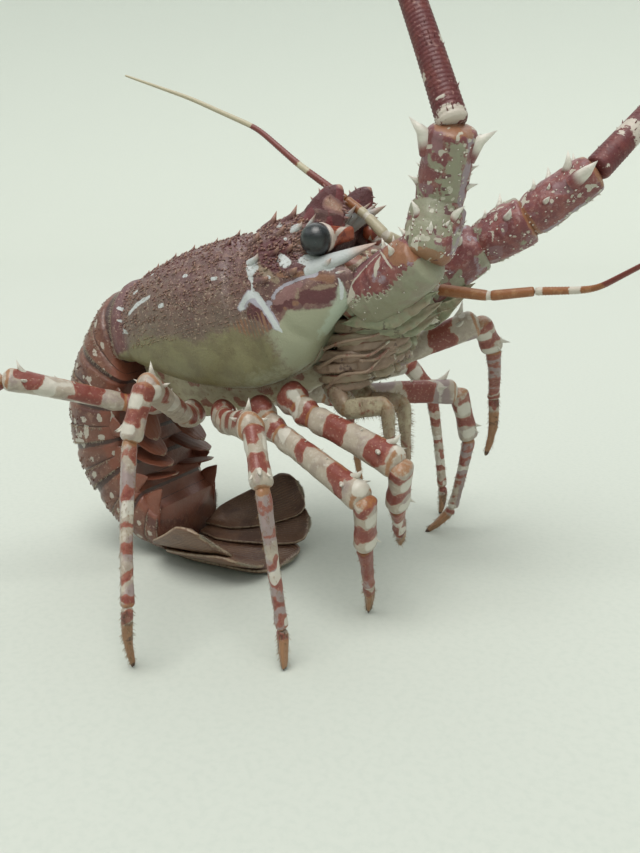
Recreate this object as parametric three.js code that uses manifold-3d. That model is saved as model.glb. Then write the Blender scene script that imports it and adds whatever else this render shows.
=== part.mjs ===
// Spiny lobster, a still life-size model of the whole animal with its tail curled under the body.
// Millimetres, +Z up. The animal faces +X and its left side is +Y. The origin is on the floor, under the
// middle of the tail fan.
import * as THREE from 'three';
import Module from 'manifold-3d';

const wasm = await Module();
wasm.setup();

// Driving dimensions
const GAP = 0.3;
const CARAPACE_PITCH = THREE.MathUtils.degToRad(18);
const CARAPACE_REAR = new THREE.Vector3(-38, 0, 88);
const FLAGELLUM_LENGTH = 380;
const LEG_SIDES = 8;
const SEED = 7;

// Colours of the live animal, roughly, one for each kind of piece
const COLOURS = {
  shell: 0x6e4542,
  belly: 0xb9a58e,
  leg: 0xa8462f,
  abdomen: 0x5b3a35,
  fan: 0x7a4a33,
  eye: 0x2b3336,
  stalk: 0xb0574a,
  antenna: 0x7a2226,
  antennule: 0xb8682f,
  mouth: 0xc3aa93,
};

const vector = (x, y, z) => new THREE.Vector3(x, y, z);
const lerp = THREE.MathUtils.lerp;
const AXIS_Y = vector(0, 1, 0);
const AXIS_Z = vector(0, 0, 1);

// The carapace frame: x forward from the middle of the rear margin, y left, z up from the animal's widest level.
const bodyFrame = new THREE.Matrix4().makeRotationY(-CARAPACE_PITCH).setPosition(CARAPACE_REAR);
const onBody = (x, y, z) => vector(x, y, z).applyMatrix4(bodyFrame);

// Seeded random numbers from 0 to 1.
function randomFrom(seed) {
  let state = seed;
  return () => {
    state = (state * 1664525 + 1013904223) % 4294967296;
    return state / 4294967296;
  };
}

// Closed geometry from vertices and faces, turned so that its faces point outwards.
function closedGeometry(vertices, faces) {
  let volume = 0;
  for (let f = 0; f < faces.length; f += 3) {
    const [a, b, c] = [vertices[faces[f]], vertices[faces[f + 1]], vertices[faces[f + 2]]];
    volume += a.dot(b.clone().cross(c));
  }
  const ordered = volume > 0 ? faces : faces.toReversed();
  const geometry = new THREE.BufferGeometry();
  geometry.setAttribute('position', new THREE.Float32BufferAttribute(vertices.flatMap((v) => [v.x, v.y, v.z]), 3));
  geometry.setIndex(ordered);
  return geometry;
}

function middleOf(points) {
  return points.reduce((sum, p) => sum.add(p), vector(0, 0, 0)).divideScalar(points.length);
}

// Closed solid through rings of equally many points. Each end is closed by a fan round its tip, or round
// the ring's own middle where no tip is given.
function loft(rings, startTip, endTip) {
  const count = rings[0].length;
  const vertices = rings.flat();
  const start = vertices.push(startTip ?? middleOf(rings[0])) - 1;
  const end = vertices.push(endTip ?? middleOf(rings.at(-1))) - 1;
  const lastRing = (rings.length - 1) * count;
  const faces = [];
  for (let k = 0; k < count; k++) {
    const next = (k + 1) % count;
    for (let base = 0; base < lastRing; base += count) {
      faces.push(base + k, base + next, base + count + next);
      faces.push(base + k, base + count + next, base + count + k);
    }
    faces.push(start, next, k);
    faces.push(end, lastRing + k, lastRing + next);
  }
  return closedGeometry(vertices, faces);
}

// Rings of a tube along a chain of points. Each section is carried along its stretch and mitred where two
// stretches meet. radii holds one [across, deep] pair for each point; start and end are the planes' normals,
// which no other ring passes. grow makes the whole tube larger, as a cutter that leaves a gap.
const RING_MARGIN = 0.25;
function tubeRings(chain, radii, { sides = LEG_SIDES, across = AXIS_Z, start, end, grow = 0 } = {}) {
  const points = chain.map((p) => p.clone());
  const stretches = points.slice(1).map((p, i) => p.clone().sub(points[i]).normalize());
  const last = points.length - 1;
  points[0].addScaledVector(stretches[0], -grow);
  points[last].addScaledVector(stretches[last - 1], grow);
  let side = across.clone().cross(stretches[0]).normalize();
  return points.map((point, i) => {
    const into = stretches[Math.max(i - 1, 0)];
    const out = stretches[Math.min(i, last - 1)];
    side = side.addScaledVector(into, -side.dot(into)).normalize();
    const deep = into.clone().cross(side);
    let normal = into.clone().add(out).normalize();
    if (i === 0 && start) normal = start;
    if (i === last && end) normal = end;
    return Array.from({ length: sides }, (_, k) => {
      const angle = 2 * Math.PI * (k + 0.5) / sides;
      const arm = side.clone().multiplyScalar((radii[i][0] + grow) * Math.cos(angle));
      arm.addScaledVector(deep, (radii[i][1] + grow) * Math.sin(angle));
      const place = point.clone().add(arm).addScaledVector(into, -arm.dot(normal) / into.dot(normal));
      if (start && i > 0) keepBefore(place, points[0], start.clone().negate(), into, i * RING_MARGIN);
      if (end && i < last) keepBefore(place, points[last], end, into, (last - i) * RING_MARGIN);
      return place;
    });
  });
}

// Moves a place back along a direction until it is a margin short of a plane.
function keepBefore(place, origin, normal, direction, margin) {
  const ahead = place.clone().sub(origin).dot(normal) + margin;
  if (ahead > 0) place.addScaledVector(direction, -ahead / direction.dot(normal));
}

const round = (...radii) => radii.map((r) => [r, r]);

// Normal of the plane that parts two stretches of a chain at its middle point.
function jointNormal(before, at, after) {
  const into = at.clone().sub(before).normalize();
  return into.add(after.clone().sub(at).normalize()).normalize();
}

function toSolid(geometry) {
  const mesh = new wasm.Mesh({
    numProp: 3,
    vertProperties: Float32Array.from(geometry.getAttribute('position').array),
    triVerts: Uint32Array.from(geometry.getIndex().array),
  });
  return new wasm.Manifold(mesh);
}

// The largest closed surface of a solid, as a geometry.
function toGeometry(solid) {
  const pieces = solid.decompose().sort((a, b) => b.volume() - a.volume());
  const { vertProperties, triVerts } = pieces[0].getMesh();
  const geometry = new THREE.BufferGeometry();
  geometry.setAttribute('position', new THREE.BufferAttribute(Float32Array.from(vertProperties), 3));
  geometry.setIndex(new THREE.BufferAttribute(Uint32Array.from(triVerts), 1));
  return geometry;
}

// One geometry fused with others and cut clear of a third set.
function fuse(base, additions, cutters = []) {
  let solid = additions.reduce((sum, piece) => sum.add(toSolid(piece)), toSolid(base));
  solid = cutters.reduce((rest, piece) => rest.subtract(toSolid(piece)), solid);
  return toGeometry(solid);
}

// Point and outward normal on a lofted surface, at a fractional ring and a fractional place round it.
function onRings(rings, along, around) {
  const count = rings[0].length;
  const place = (u, v) => {
    const i = Math.min(Math.floor(u), rings.length - 2);
    const k = Math.floor(v);
    const at = (ring, step) => rings[ring][(k + step + count) % count];
    const low = at(i, 0).clone().lerp(at(i, 1), v - k);
    const high = at(i + 1, 0).clone().lerp(at(i + 1, 1), v - k);
    return low.lerp(high, u - i);
  };
  const point = place(along, around);
  const step = 0.25;
  const forward = place(Math.min(along + step, rings.length - 1), around);
  forward.sub(place(Math.max(along - step, 0), around)).normalize();
  const sideways = place(along, around + step).sub(place(along, around - step + count)).normalize();
  const normal = forward.clone().cross(sideways).normalize();
  const ring = rings[Math.round(along)];
  if (normal.dot(point.clone().sub(middleOf(ring))) < 0) normal.negate();
  return { point, normal, forward };
}

// A spine of five sides on a lofted surface, leaning forward by its lean, with its root sunk in.
const SPINE_STOUTNESS = 0.32;
const SPINE_SUNK = 1.2;
function spine(rings, along, around, length, radius, lean) {
  const { point, normal, forward } = onRings(rings, along, around);
  const direction = normal.clone().multiplyScalar(1 - Math.abs(lean)).addScaledVector(forward, lean).normalize();
  const root = point.clone().addScaledVector(direction, -SPINE_SUNK * radius);
  const tip = point.clone().addScaledVector(direction, length);
  const foot = tubeRings([root, tip], round(radius, radius), { sides: 5, across: normal.clone().add(forward) });
  return loft([foot[0]], undefined, tip);
}

// Cross-section of a shell: a dome over the widest level, sides that turn in below it, and a flat floor.
// Each point is [sideways, up].
const DOME_STEPS = 12;
const SIDE_STEPS = 4;
function shellSection(halfWidth, top, bottom, floor) {
  const power = (value, exponent) => Math.sign(value) * Math.abs(value) ** exponent;
  const section = [];
  for (let k = 0; k <= DOME_STEPS; k++) {
    const angle = Math.PI * k / DOME_STEPS;
    section.push([halfWidth * power(Math.cos(angle), 0.94), top * power(Math.sin(angle), 0.94)]);
  }
  const side = [];
  for (let k = 1; k <= SIDE_STEPS; k++) {
    const angle = Math.PI / 2 * k / SIDE_STEPS;
    side.push([floor + (halfWidth - floor) * Math.cos(angle) ** 0.75, -bottom * Math.sin(angle) ** 0.75]);
  }
  section.push(...side.map(([y, z]) => [-y, z]), [0, -bottom], ...side.toReversed());
  return section;
}

// Carapace, in its own frame. Rows: x, half width, height above and depth below the widest level.
const CARAPACE_STATIONS = [
  [0, 25, 24.5, 5],
  [4, 26.5, 26.2, 6],
  [7, 27.5, 25.4, 7.5],
  [20, 31, 28, 15],
  [36, 33.8, 29, 22.5],
  [50, 34.2, 28.6, 27],
  [60, 33.4, 27.8, 29],
  [64, 31.6, 25.6, 29],
  [68, 31.4, 25.8, 28.6],
  [72, 32.6, 27.8, 28],
  [82, 30.5, 27.4, 25],
  [92, 28, 26.4, 20.5],
  [100, 25.6, 23.8, 17],
  [106, 23, 20.5, 13],
];
const CARAPACE_FLOOR = 0.62;
const FRONT_FROM = 82;
// How far the front margin reaches at each step of the dome, from the side to the middle line: the eyes
// sit in the dip between the antennal corner and the base of the horn.
const FRONT_REACH = [108, 103, 96.5, 99.5, 104.5, 105, 105];
const LOWER_REACH = [107, 103, 97, 92, 90];

function frontReach(k) {
  if (k <= DOME_STEPS) return FRONT_REACH[Math.min(k, DOME_STEPS - k)];
  const below = k - DOME_STEPS - 1;
  return LOWER_REACH[Math.min(below, 2 * SIDE_STEPS - below)];
}

function carapaceRings(grow = 0) {
  const last = CARAPACE_STATIONS.at(-1)[0];
  return CARAPACE_STATIONS.map(([x, halfWidth, top, bottom]) => {
    const section = shellSection(halfWidth + grow, top + grow, bottom + grow, CARAPACE_FLOOR * halfWidth);
    return section.map(([y, z], k) => {
      const share = Math.max(0, (x - FRONT_FROM) / (last - FRONT_FROM));
      const margin = x + share * (frontReach(k) - last);
      return vector(margin + (x > 0 ? 0 : -grow), y, z);
    });
  });
}

const carapaceStation = (x) => {
  const next = CARAPACE_STATIONS.findIndex((row) => row[0] > x);
  const [from, to] = [CARAPACE_STATIONS[next - 1][0], CARAPACE_STATIONS[next][0]];
  return next - 1 + (x - from) / (to - from);
};

// Rows of forward spines on the carapace: dome step from the left side, first and last x, count, length.
const SPINE_ROWS = [
  [4.6, 76, 98, 4, 5.5],
  [3.2, 74, 92, 3, 4.5],
  [2, 74, 90, 3, 4.5],
  [0.8, 78, 100, 3, 5],
  [5.2, 8, 58, 6, 3],
  [4, 10, 60, 6, 2.8],
  [2.8, 12, 58, 6, 2.6],
];

const SHELL_SPINE_LEAN = 0.62;
function carapaceSpines(rings) {
  const random = randomFrom(SEED);
  const spines = [];
  for (const [step, from, to, count, length] of SPINE_ROWS) {
    for (let i = 0; i < count; i++) {
      const x = lerp(from, to, count > 1 ? i / (count - 1) : 0) + 2 * (random() - 0.5);
      const size = length * lerp(0.85, 1.2, random());
      for (const around of [step, DOME_STEPS - step]) {
        spines.push(spine(rings, carapaceStation(x), around, size, SPINE_STOUTNESS * size, SHELL_SPINE_LEAN));
      }
    }
  }
  return spines;
}

// The two broad horns over the eyes.
const HORN_BASE = vector(97, 12, 20.5);
const HORN_TIP = vector(107.5, 12.5, 30);
const HORN_RADII = [[9, 4], [8.5, 3.6], [4.6, 2.4], [1, 1]];
function horn(side) {
  const base = HORN_BASE.clone();
  const tip = HORN_TIP.clone();
  base.y *= side;
  tip.y *= side;
  const middle = base.clone().lerp(tip, 0.55).add(vector(-0.6, 0, 0.8));
  const start = base.clone().lerp(tip, -0.35);
  const rings = tubeRings([start, base, middle, tip], HORN_RADII, { across: AXIS_Y });
  return loft(rings.slice(0, 3), undefined, tip);
}

// A long spine that doesn't lie on the shell's own mesh: from the middle of its root to its tip.
function strongSpine(root, tip, radius) {
  const start = root.clone().lerp(tip, -0.3);
  return loft([tubeRings([start, tip], round(radius * 1.2, radius), { sides: 6 })[0]], undefined, tip);
}

// The small beak between the horns, and the long spine under each eye.
const BEAK = [[103, 0, 18.2], [116.5, 0, 20.2]];
const CHEEK_SPINE = [[100, 22.6, 5], [118, 21, 6.8]];
function frontSpines() {
  const spines = [strongSpine(vector(...BEAK[0]), vector(...BEAK[1]), 3.4)];
  for (const side of [1, -1]) {
    const [root, tip] = CHEEK_SPINE.map(([x, y, z]) => vector(x, side * y, z));
    spines.push(strongSpine(root, tip, 3));
  }
  return spines;
}

// Eyes: a short stalk out of the orbit and the ball at its end.
const EYE_RADIUS = 5.6;
const EYE_CENTRE = vector(98.2, 23, 14.3);
const STALK_ROOT = vector(104, 9, 14.3);
const STALK_RADII = [3, 3.2, 4.6];
const EYE_STEPS = 7;
const EYE_SIDES = 12;
const EYE_ROOM = 0.5;
function eyeStalk(side, grow = 0) {
  const root = vector(STALK_ROOT.x, side * STALK_ROOT.y, STALK_ROOT.z);
  const end = vector(EYE_CENTRE.x, side * EYE_CENTRE.y, EYE_CENTRE.z).lerp(root, 0.22);
  const neck = root.clone().lerp(end, 0.5);
  return loft(tubeRings([root, neck, end], round(...STALK_RADII), { sides: 10, grow }));
}

function eyeBall(side, grow = 0) {
  const ball = [];
  const centre = vector(EYE_CENTRE.x, side * EYE_CENTRE.y, EYE_CENTRE.z);
  const radius = EYE_RADIUS + grow;
  const pole = (s) => centre.clone().add(vector(0, s * radius, 0));
  for (let i = 1; i < EYE_STEPS; i++) {
    const angle = Math.PI * i / EYE_STEPS;
    ball.push(Array.from({ length: EYE_SIDES }, (_, k) => {
      const turn = 2 * Math.PI * k / EYE_SIDES;
      const arm = vector(Math.cos(turn) * Math.sin(angle), Math.cos(angle), Math.sin(turn) * Math.sin(angle));
      return centre.clone().addScaledVector(arm, radius);
    }));
  }
  return loft(ball, pole(1), pole(-1));
}

// The block between the eyes and the mouth that carries the antennae.
function face(grow = 0) {
  const rows = [
    [97, 19, 8, 17],
    [104, 19.5, 9, 19],
    [110, 18, 7, 21.5],
    [116, 14, 1, 23.5],
    [121, 9, -8, 24],
  ];
  return loft(rows.map(([x, halfWidth, top, bottom], i) => {
    const end = i === 0 ? -grow : 0;
    const section = shellSection(halfWidth + grow, top + grow, bottom + grow, 0.6 * halfWidth);
    return section.map(([y, z]) => vector(x + end, y, z));
  }));
}

// Jaws and the small mouthparts over them, a rounded block under the front of the carapace.
function mouthBlock() {
  const rows = [
    [78, 9, -27, -37],
    [84, 12, -22, -39],
    [92, 13.5, -17, -38.5],
    [100, 13, -17, -36],
    [107, 10, -18, -32],
    [112, 6, -20, -28],
  ];
  return loft(rows.map(([x, halfWidth, top, bottom]) => {
    const middle = (top + bottom) / 2;
    const half = (top - bottom) / 2;
    return shellSection(halfWidth, half, half, 0.6 * halfWidth).map(([y, z]) => vector(x, y, z + middle));
  }));
}

// Underside of the thorax, between the leg roots. Rows: x, half width at the top, at the bottom, depth.
function thorax() {
  const rows = [
    [4, 15, 11, 30],
    [12, 18, 13, 34],
    [30, 18.5, 13, 36],
    [50, 18, 11.5, 37.5],
    [66, 16, 9, 36.5],
    [76, 12, 6, 34],
  ];
  return loft(rows.map(([x, wide, narrow, depth]) => {
    const top = -4;
    return [
      [wide, top], [-wide, top], [-wide, -0.72 * depth], [-narrow, -depth],
      [0, -depth - 0.6], [narrow, -depth], [wide, -0.72 * depth],
    ].map(([y, z]) => vector(x, y, z));
  }));
}

// Legs, front to back: where the root leaves the thorax in the carapace frame, and the joints of each
// leg on the right and on the left in the frame of the whole model. The last joint is the foot.
const LEGS = [
  {
    name: 'leg_1', stout: 1.12, root: [66, 17, -32],
    right: [[89, -37, 61], [84, -27, 42.5], [81.5, -18, 31], [79.5, -12, 23]],
    left: [[90, 40, 99.5], [92.5, 52, 87], [88, 72, 63], [84, 78, 35]],
  },
  {
    name: 'leg_2', stout: 1.05, root: [52, 18, -33.5],
    right: [[80, -45, 50], [77, -38, 30], [75, -30, 13], [72.5, -24, 0]],
    left: [[77, 56, 67.5], [79.5, 66, 44.5], [72, 70, 10.5], [62.5, 62, 0]],
  },
  {
    name: 'leg_3', stout: 1, root: [37, 18.5, -33.5],
    right: [[51.5, -67, 76], [59.5, -75, 59], [64, -72, 13], [65.5, -73.5, 0]],
    left: [[48, 70, 76], [57, 79, 60], [62, 84, 15], [60, 88, 0]],
  },
  {
    name: 'leg_4', stout: 0.95, root: [24.5, 18.5, -31.5],
    right: [[16.5, -74.5, 87.5], [15, -82, 70], [26.5, -100.5, 24], [22, -94, 0]],
    left: [[12, 75, 84], [8, 86, 67], [6, 108, 22], [8, 112, 0]],
  },
  {
    name: 'leg_5', stout: 0.88, root: [11, 16, -24.5],
    right: [[-60, -63, 81], [-75, -72, 71], [-92, -90, 25], [-93, -95, 0]],
    left: [[-56, 62, 79], [-70, 73, 69], [-95, 88, 24], [-98, 92, 0]],
  },
];

// Coxa, basis, ischium and merus: stations along the way from the root to the knee, as [share of the
// way, drop below the straight line, radius].
const UPPER_LEG = [
  [0, 0, 5.5], [0.1, 2, 5.7], [0.18, 3.2, 4.9], [0.3, 3.4, 4.4], [0.42, 2.6, 4.6], [0.7, 1, 4.7], [0.93, 0.1, 4.9], [1, 0, 4.2],
];
const LEG_FLATNESS = 0.9;
// Carpus, propodus and dactyl: stations as [which stretch, share of it, radius].
const LOWER_LEG = [
  [0, 0, 4.2], [0, 0.3, 4.8], [0, 0.85, 4.1], [1, 0.05, 3.2], [1, 0.35, 2.7], [1, 0.9, 2.4],
  [2, 0.1, 2.3], [2, 0.6, 1.7], [2, 1, 0.9],
];

// Spines at the far end of the merus and on the carpus: [ring, place round it, length]. The upper side is at
// 1.5 steps.
const UPPER_LEG_SPINES = [[5.75, 1.5, 4.6], [5.6, 3.6, 3], [5.6, 7.4, 3]];
const LOWER_LEG_SPINES = [[1.2, 1.5, 3.2]];
const LEG_SPINE_LEAN = 0.45;

function withSpines(rings, places, size) {
  const spines = places.map(([along, around, length]) => (
    spine(rings, along, around, length * size, SPINE_STOUTNESS * length * size, LEG_SPINE_LEAN)));
  return fuse(loft(rings), spines);
}

function legJoints(leg, side) {
  const sign = side === 'right' ? -1 : 1;
  const [x, y, z] = leg.root;
  return [onBody(x, sign * y, z), ...leg[side].map((joint) => vector(...joint))];
}

function upperLeg(leg, side, grow = 0) {
  const [root, knee, carpus] = legJoints(leg, side);
  const parting = jointNormal(root, knee, carpus);
  const axis = knee.clone().sub(root);
  const points = UPPER_LEG.map(([share, drop]) => {
    const point = root.clone().addScaledVector(axis, share);
    point.z -= drop;
    return point;
  });
  points.at(-1).addScaledVector(axis.clone().normalize(), -GAP / 2);
  const radii = UPPER_LEG.map(([, , radius]) => [radius * leg.stout * LEG_FLATNESS, radius * leg.stout]);
  return tubeRings(points, radii, { end: parting, grow });
}

function lowerLeg(leg, side) {
  const joints = legJoints(leg, side);
  const parting = jointNormal(...joints.slice(0, 3));
  const points = LOWER_LEG.map(([stretch, share]) => joints[stretch + 1].clone().lerp(joints[stretch + 2], share));
  points[0].addScaledVector(joints[2].clone().sub(joints[1]).normalize(), GAP / 2);
  const radii = LOWER_LEG.map(([, , radius]) => [radius * leg.stout * LEG_FLATNESS, radius * leg.stout]);
  const onFloor = joints.at(-1).z === 0;
  return tubeRings(points, radii, { start: parting, end: onFloor ? vector(0, 0, -1) : undefined });
}

// Abdomen: the line of its back, from the carapace round to the fan. Rows: x, z, direction of travel in
// degrees, half width, height.
const BACK_LINE = [
  [-46.2, 112.3, 198, 24, 31],
  [-62.5, 94, 236, 27.5, 33],
  [-72.5, 70.5, 260, 28.5, 33.5],
  [-72.5, 45.5, 281, 28, 32.5],
  [-62.5, 23, 306, 26.5, 30.5],
  [-45, 6, 330, 24.5, 27],
  [-24, 0, 360, 22, 22],
];
// How the height of a segment's back and its half width change along it: [share, rise].
const SEGMENT_RELIEF = [[0, -1.2], [0.2, -0.9], [0.27, 0], [0.56, 0.1], [0.62, -0.7], [0.7, 0.1], [1, 0]];

// A place on the line of the back: its point, its direction of travel, and its outward normal.
function backStation(index, share) {
  const [before, after] = [BACK_LINE[index], BACK_LINE[index + 1]];
  const heading = (row) => vector(Math.cos(row[2] * Math.PI / 180), 0, Math.sin(row[2] * Math.PI / 180));
  const [start, end] = [vector(before[0], 0, before[1]), vector(after[0], 0, after[1])];
  const reach = start.distanceTo(end);
  const [s, t] = [share, 1 - share];
  const point = start.multiplyScalar(t * t * (1 + 2 * s)).addScaledVector(end, s * s * (1 + 2 * t));
  point.addScaledVector(heading(before), reach * s * t * t).addScaledVector(heading(after), -reach * s * s * t);
  const row = before.map((value, column) => lerp(value, after[column], share));
  const travel = heading(row);
  return { point, travel, out: vector(travel.z, 0, -travel.x), halfWidth: row[3], height: row[4] };
}

function segmentRings(index) {
  return SEGMENT_RELIEF.map(([share, rise], i) => {
    const { point, travel, out, halfWidth, height } = backStation(index, share);
    let shift = 0;
    if (i === 0) shift = GAP / 2;
    if (i === SEGMENT_RELIEF.length - 1) shift = -GAP / 2;
    const dome = 0.62 * height;
    const origin = point.clone().addScaledVector(out, -dome).addScaledVector(travel, shift);
    const section = shellSection(halfWidth + 0.6 * rise, dome + rise, height - dome, 0.72 * halfWidth);
    return section.map(([y, up]) => origin.clone().addScaledVector(AXIS_Y, y).addScaledVector(out, up));
  });
}

// Side plates of a segment: flat points that hang from its edge towards the belly and the tail. The first
// segment's are short. long is a plate's half length along the tail, at its root.
const PLEURON = { share: 0.55, depth: 0.78, width: 0.86, sunk: 6, reach: 13, sweep: 4.5, long: 7 };
const FIRST_PLEURON = { ...PLEURON, reach: 6, sweep: 0, long: 3 };
const PLEURON_THICKNESS = [1.8, 1.3, 0.5];
function pleuron(index, side) {
  const shape = index === 0 ? FIRST_PLEURON : PLEURON;
  const { point, travel, out, halfWidth, height } = backStation(index, shape.share);
  const edge = point.clone().addScaledVector(out, -shape.depth * height);
  edge.addScaledVector(AXIS_Y, side * shape.width * halfWidth);
  const root = edge.clone().addScaledVector(out, shape.sunk);
  const middle = edge.clone().addScaledVector(out, -0.45 * shape.reach).addScaledVector(travel, 1);
  const tip = edge.clone().addScaledVector(out, -shape.reach).addScaledVector(travel, shape.sweep);
  const lengths = [shape.long, 0.62 * shape.long, 0.5];
  const radii = PLEURON_THICKNESS.map((thick, i) => [thick, lengths[i]]);
  const rings = tubeRings([root, middle, tip], radii, { sides: 6, across: travel });
  return loft(rings.slice(0, 2), undefined, tip);
}

// Swimmerets: thin leaves under segments two to five, lying back towards the fan. Rows of the shape: share
// of the length, half width, half thickness.
const PLEOPOD_LENGTHS = [0, 25, 24, 22, 18];
const PLEOPOD_SHAPE = [[0, 2.5, 0.9], [0.25, 6, 0.8], [0.6, 7, 0.6], [0.9, 4.5, 0.45], [1, 1, 0.4]];
const PLEOPOD_ROOT = { share: 0.5, width: 0.5, sunk: 3, sweep: 0.75 };
function pleopod(index, side) {
  const { point, travel, out, halfWidth, height } = backStation(index, PLEOPOD_ROOT.share);
  const root = point.clone().addScaledVector(out, PLEOPOD_ROOT.sunk - height);
  root.addScaledVector(AXIS_Y, side * PLEOPOD_ROOT.width * halfWidth);
  const way = out.clone().negate().addScaledVector(travel, PLEOPOD_ROOT.sweep).normalize();
  const points = PLEOPOD_SHAPE.map(([share]) => root.clone().addScaledVector(way, share * PLEOPOD_LENGTHS[index]));
  const radii = PLEOPOD_SHAPE.map(([, wide, thick]) => [wide, thick]);
  return loft(tubeRings(points, radii, { across: way.clone().cross(AXIS_Y) }));
}

function abdomenSegment(index) {
  const body = loft(segmentRings(index));
  const extras = [pleuron(index, 1), pleuron(index, -1)];
  if (PLEOPOD_LENGTHS[index] > 0) extras.push(pleopod(index, 1), pleopod(index, -1));
  return fuse(body, extras);
}

// Tail fan. Its blades lie in layers on one cupped surface that goes on from the line of the back. A place
// on it is given unrolled: a along the tail, b sideways, and the height of a layer above the lowest face.
const FAN = { start: -24, flat: 32, curl: 60, cup: 42, flatHalfWidth: 7 };
function onFan(a, b, layer) {
  const across = Math.max(0, Math.abs(b) - FAN.flatHalfWidth) / FAN.cup;
  const sideways = Math.sign(b) * (Math.min(Math.abs(b), FAN.flatHalfWidth) + (FAN.cup - layer) * Math.sin(across));
  const height = FAN.cup - (FAN.cup - layer) * Math.cos(across);
  const bend = Math.max(0, a - FAN.flat) / (2 * FAN.curl);
  const along = Math.min(a, FAN.flat) + (2 * FAN.curl - height) * Math.sin(bend);
  const rise = 2 * FAN.curl - (2 * FAN.curl - height) * Math.cos(bend);
  return vector(FAN.start + along, sideways, rise);
}

// A blade of the fan: its root and direction on the unrolled surface, its length, half widths at the root,
// middle and end, and its layer. Low ridges run along it where the real fan has its rays.
const RAYS = 8;
const BLADE_ROWS = 7;
function blade({ a, b, turn, length, root, wide, end, layer, thick }) {
  const outline = [[0, root], [0.16, lerp(root, wide, 0.75)], [0.34, wide], [0.62, lerp(wide, end, 0.6)],
    [0.85, end], [0.96, 0.78 * end], [1, 0.45 * end]];
  const [cos, sin] = [Math.cos(turn), Math.sin(turn)];
  const faceOf = (height, ridge) => outline.map(([share, halfWidth]) => Array.from({ length: RAYS + 1 }, (_, k) => {
    const v = halfWidth * (2 * k / RAYS - 1);
    const u = length * share;
    const relief = ridge * (k % 2) * Math.min(1, 3 * share);
    const along = share > 0 ? a + u * cos - v * sin : GAP;
    return onFan(along, b + u * sin + v * cos, height + relief);
  }));
  const lower = faceOf(layer, 0);
  const upper = faceOf(layer + thick, 0.35);
  const count = RAYS + 1;
  const vertices = [...lower.flat(), ...upper.flat()];
  const offset = lower.length * count;
  const faces = [];
  for (let i = 0; i < BLADE_ROWS - 1; i++) {
    for (let k = 0; k < RAYS; k++) {
      const [p, q, r, s] = [i * count + k, i * count + k + 1, (i + 1) * count + k, (i + 1) * count + k + 1];
      faces.push(p, q, s, p, s, r);
      faces.push(offset + p, offset + s, offset + q, offset + p, offset + r, offset + s);
    }
  }
  const rim = [];
  for (let k = 0; k < RAYS; k++) rim.push(k);
  for (let i = 0; i < BLADE_ROWS - 1; i++) rim.push(i * count + RAYS);
  for (let k = RAYS; k > 0; k--) rim.push((BLADE_ROWS - 1) * count + k);
  for (let i = BLADE_ROWS - 1; i > 0; i--) rim.push(i * count);
  rim.forEach((p, i) => {
    const q = rim[(i + 1) % rim.length];
    faces.push(q, p, offset + p, q, offset + p, offset + q);
  });
  return closedGeometry(vertices, faces);
}

const degrees = THREE.MathUtils.degToRad;
const TELSON = { a: GAP, b: 0, turn: 0, length: 50, root: 12, wide: 17, end: 17.5, layer: 0, thick: 1.8 };
const UROPODS = [
  ['uropod_inner', { a: 1.5, b: 12, turn: degrees(19), length: 48, root: 4.5, wide: 12.5, end: 13.5, layer: 2.5, thick: 1.6 }],
  ['uropod_outer', { a: 1.5, b: 16.5, turn: degrees(40), length: 46, root: 4, wide: 12.5, end: 14, layer: 4.8, thick: 1.6 }],
];

// Antennae: the joints of the stout spiny stem in the frame of the model, then the long whip.
const ANTENNA_ROOT = [107, 15.5, -9];
const ANTENNAE = {
  right: { joints: [[91, -24, 127], [92, -17, 143], [99, -26, 166]], whip: [150, 62], sweep: [12, -14] },
  left: { joints: [[93.5, 25, 129], [110, 28, 139], [131, 33, 155]], whip: [55, 40], sweep: [40, -8] },
};
// Stations of each stem piece: [share of its length, radius].
const STEM_SIDES = 10;
const STEM = {
  base: [[-0.12, 7.5], [0.15, 8.8], [0.6, 9.4], [1, 7.4]],
  middle: [[0, 7.4], [0.3, 8.6], [0.8, 8.2], [1, 6.6]],
  upper: [[0, 6.6], [0.15, 7.6], [0.7, 6.9], [1, 5.6]],
};
const WHIP_STEPS = 16;
const WHIP_ROOT_RADIUS = 4.9;
const WHIP_TIP_RADIUS = 0.5;
const WHIP_TAPER = 0.85;

function antennaJoints(side) {
  const sign = side === 'right' ? -1 : 1;
  const [x, y, z] = ANTENNA_ROOT;
  return [onBody(x, sign * y, z), ...ANTENNAE[side].joints.map((joint) => vector(...joint))];
}

// Points of the whip: equal steps whose heading turns evenly from the stem to the tip.
function whipPoints(side) {
  const { whip, sweep } = ANTENNAE[side];
  const points = [antennaJoints(side).at(-1)];
  for (let i = 0; i < WHIP_STEPS; i++) {
    const share = i / (WHIP_STEPS - 1);
    const azimuth = degrees(whip[0] + sweep[0] * share);
    const elevation = degrees(whip[1] + sweep[1] * share);
    const step = vector(Math.cos(azimuth) * Math.cos(elevation), Math.sin(azimuth) * Math.cos(elevation), Math.sin(elevation));
    points.push(points.at(-1).clone().addScaledVector(step, FLAGELLUM_LENGTH / WHIP_STEPS));
  }
  return points;
}

function stemRings(side, name, grow = 0) {
  const order = Object.keys(STEM).indexOf(name);
  const chain = [...antennaJoints(side), whipPoints(side)[1]];
  const [from, to] = [chain[order], chain[order + 1]];
  const axis = to.clone().sub(from).normalize();
  const start = order > 0 ? jointNormal(chain[order - 1], from, to) : undefined;
  const end = jointNormal(from, to, chain[order + 2]);
  const points = STEM[name].map(([share]) => from.clone().lerp(to, share));
  if (order > 0) points[0].addScaledVector(axis, GAP / 2);
  points.at(-1).addScaledVector(axis, -GAP / 2);
  return tubeRings(points, round(...STEM[name].map(([, radius]) => radius)), { sides: STEM_SIDES, start, end, grow });
}

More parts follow.
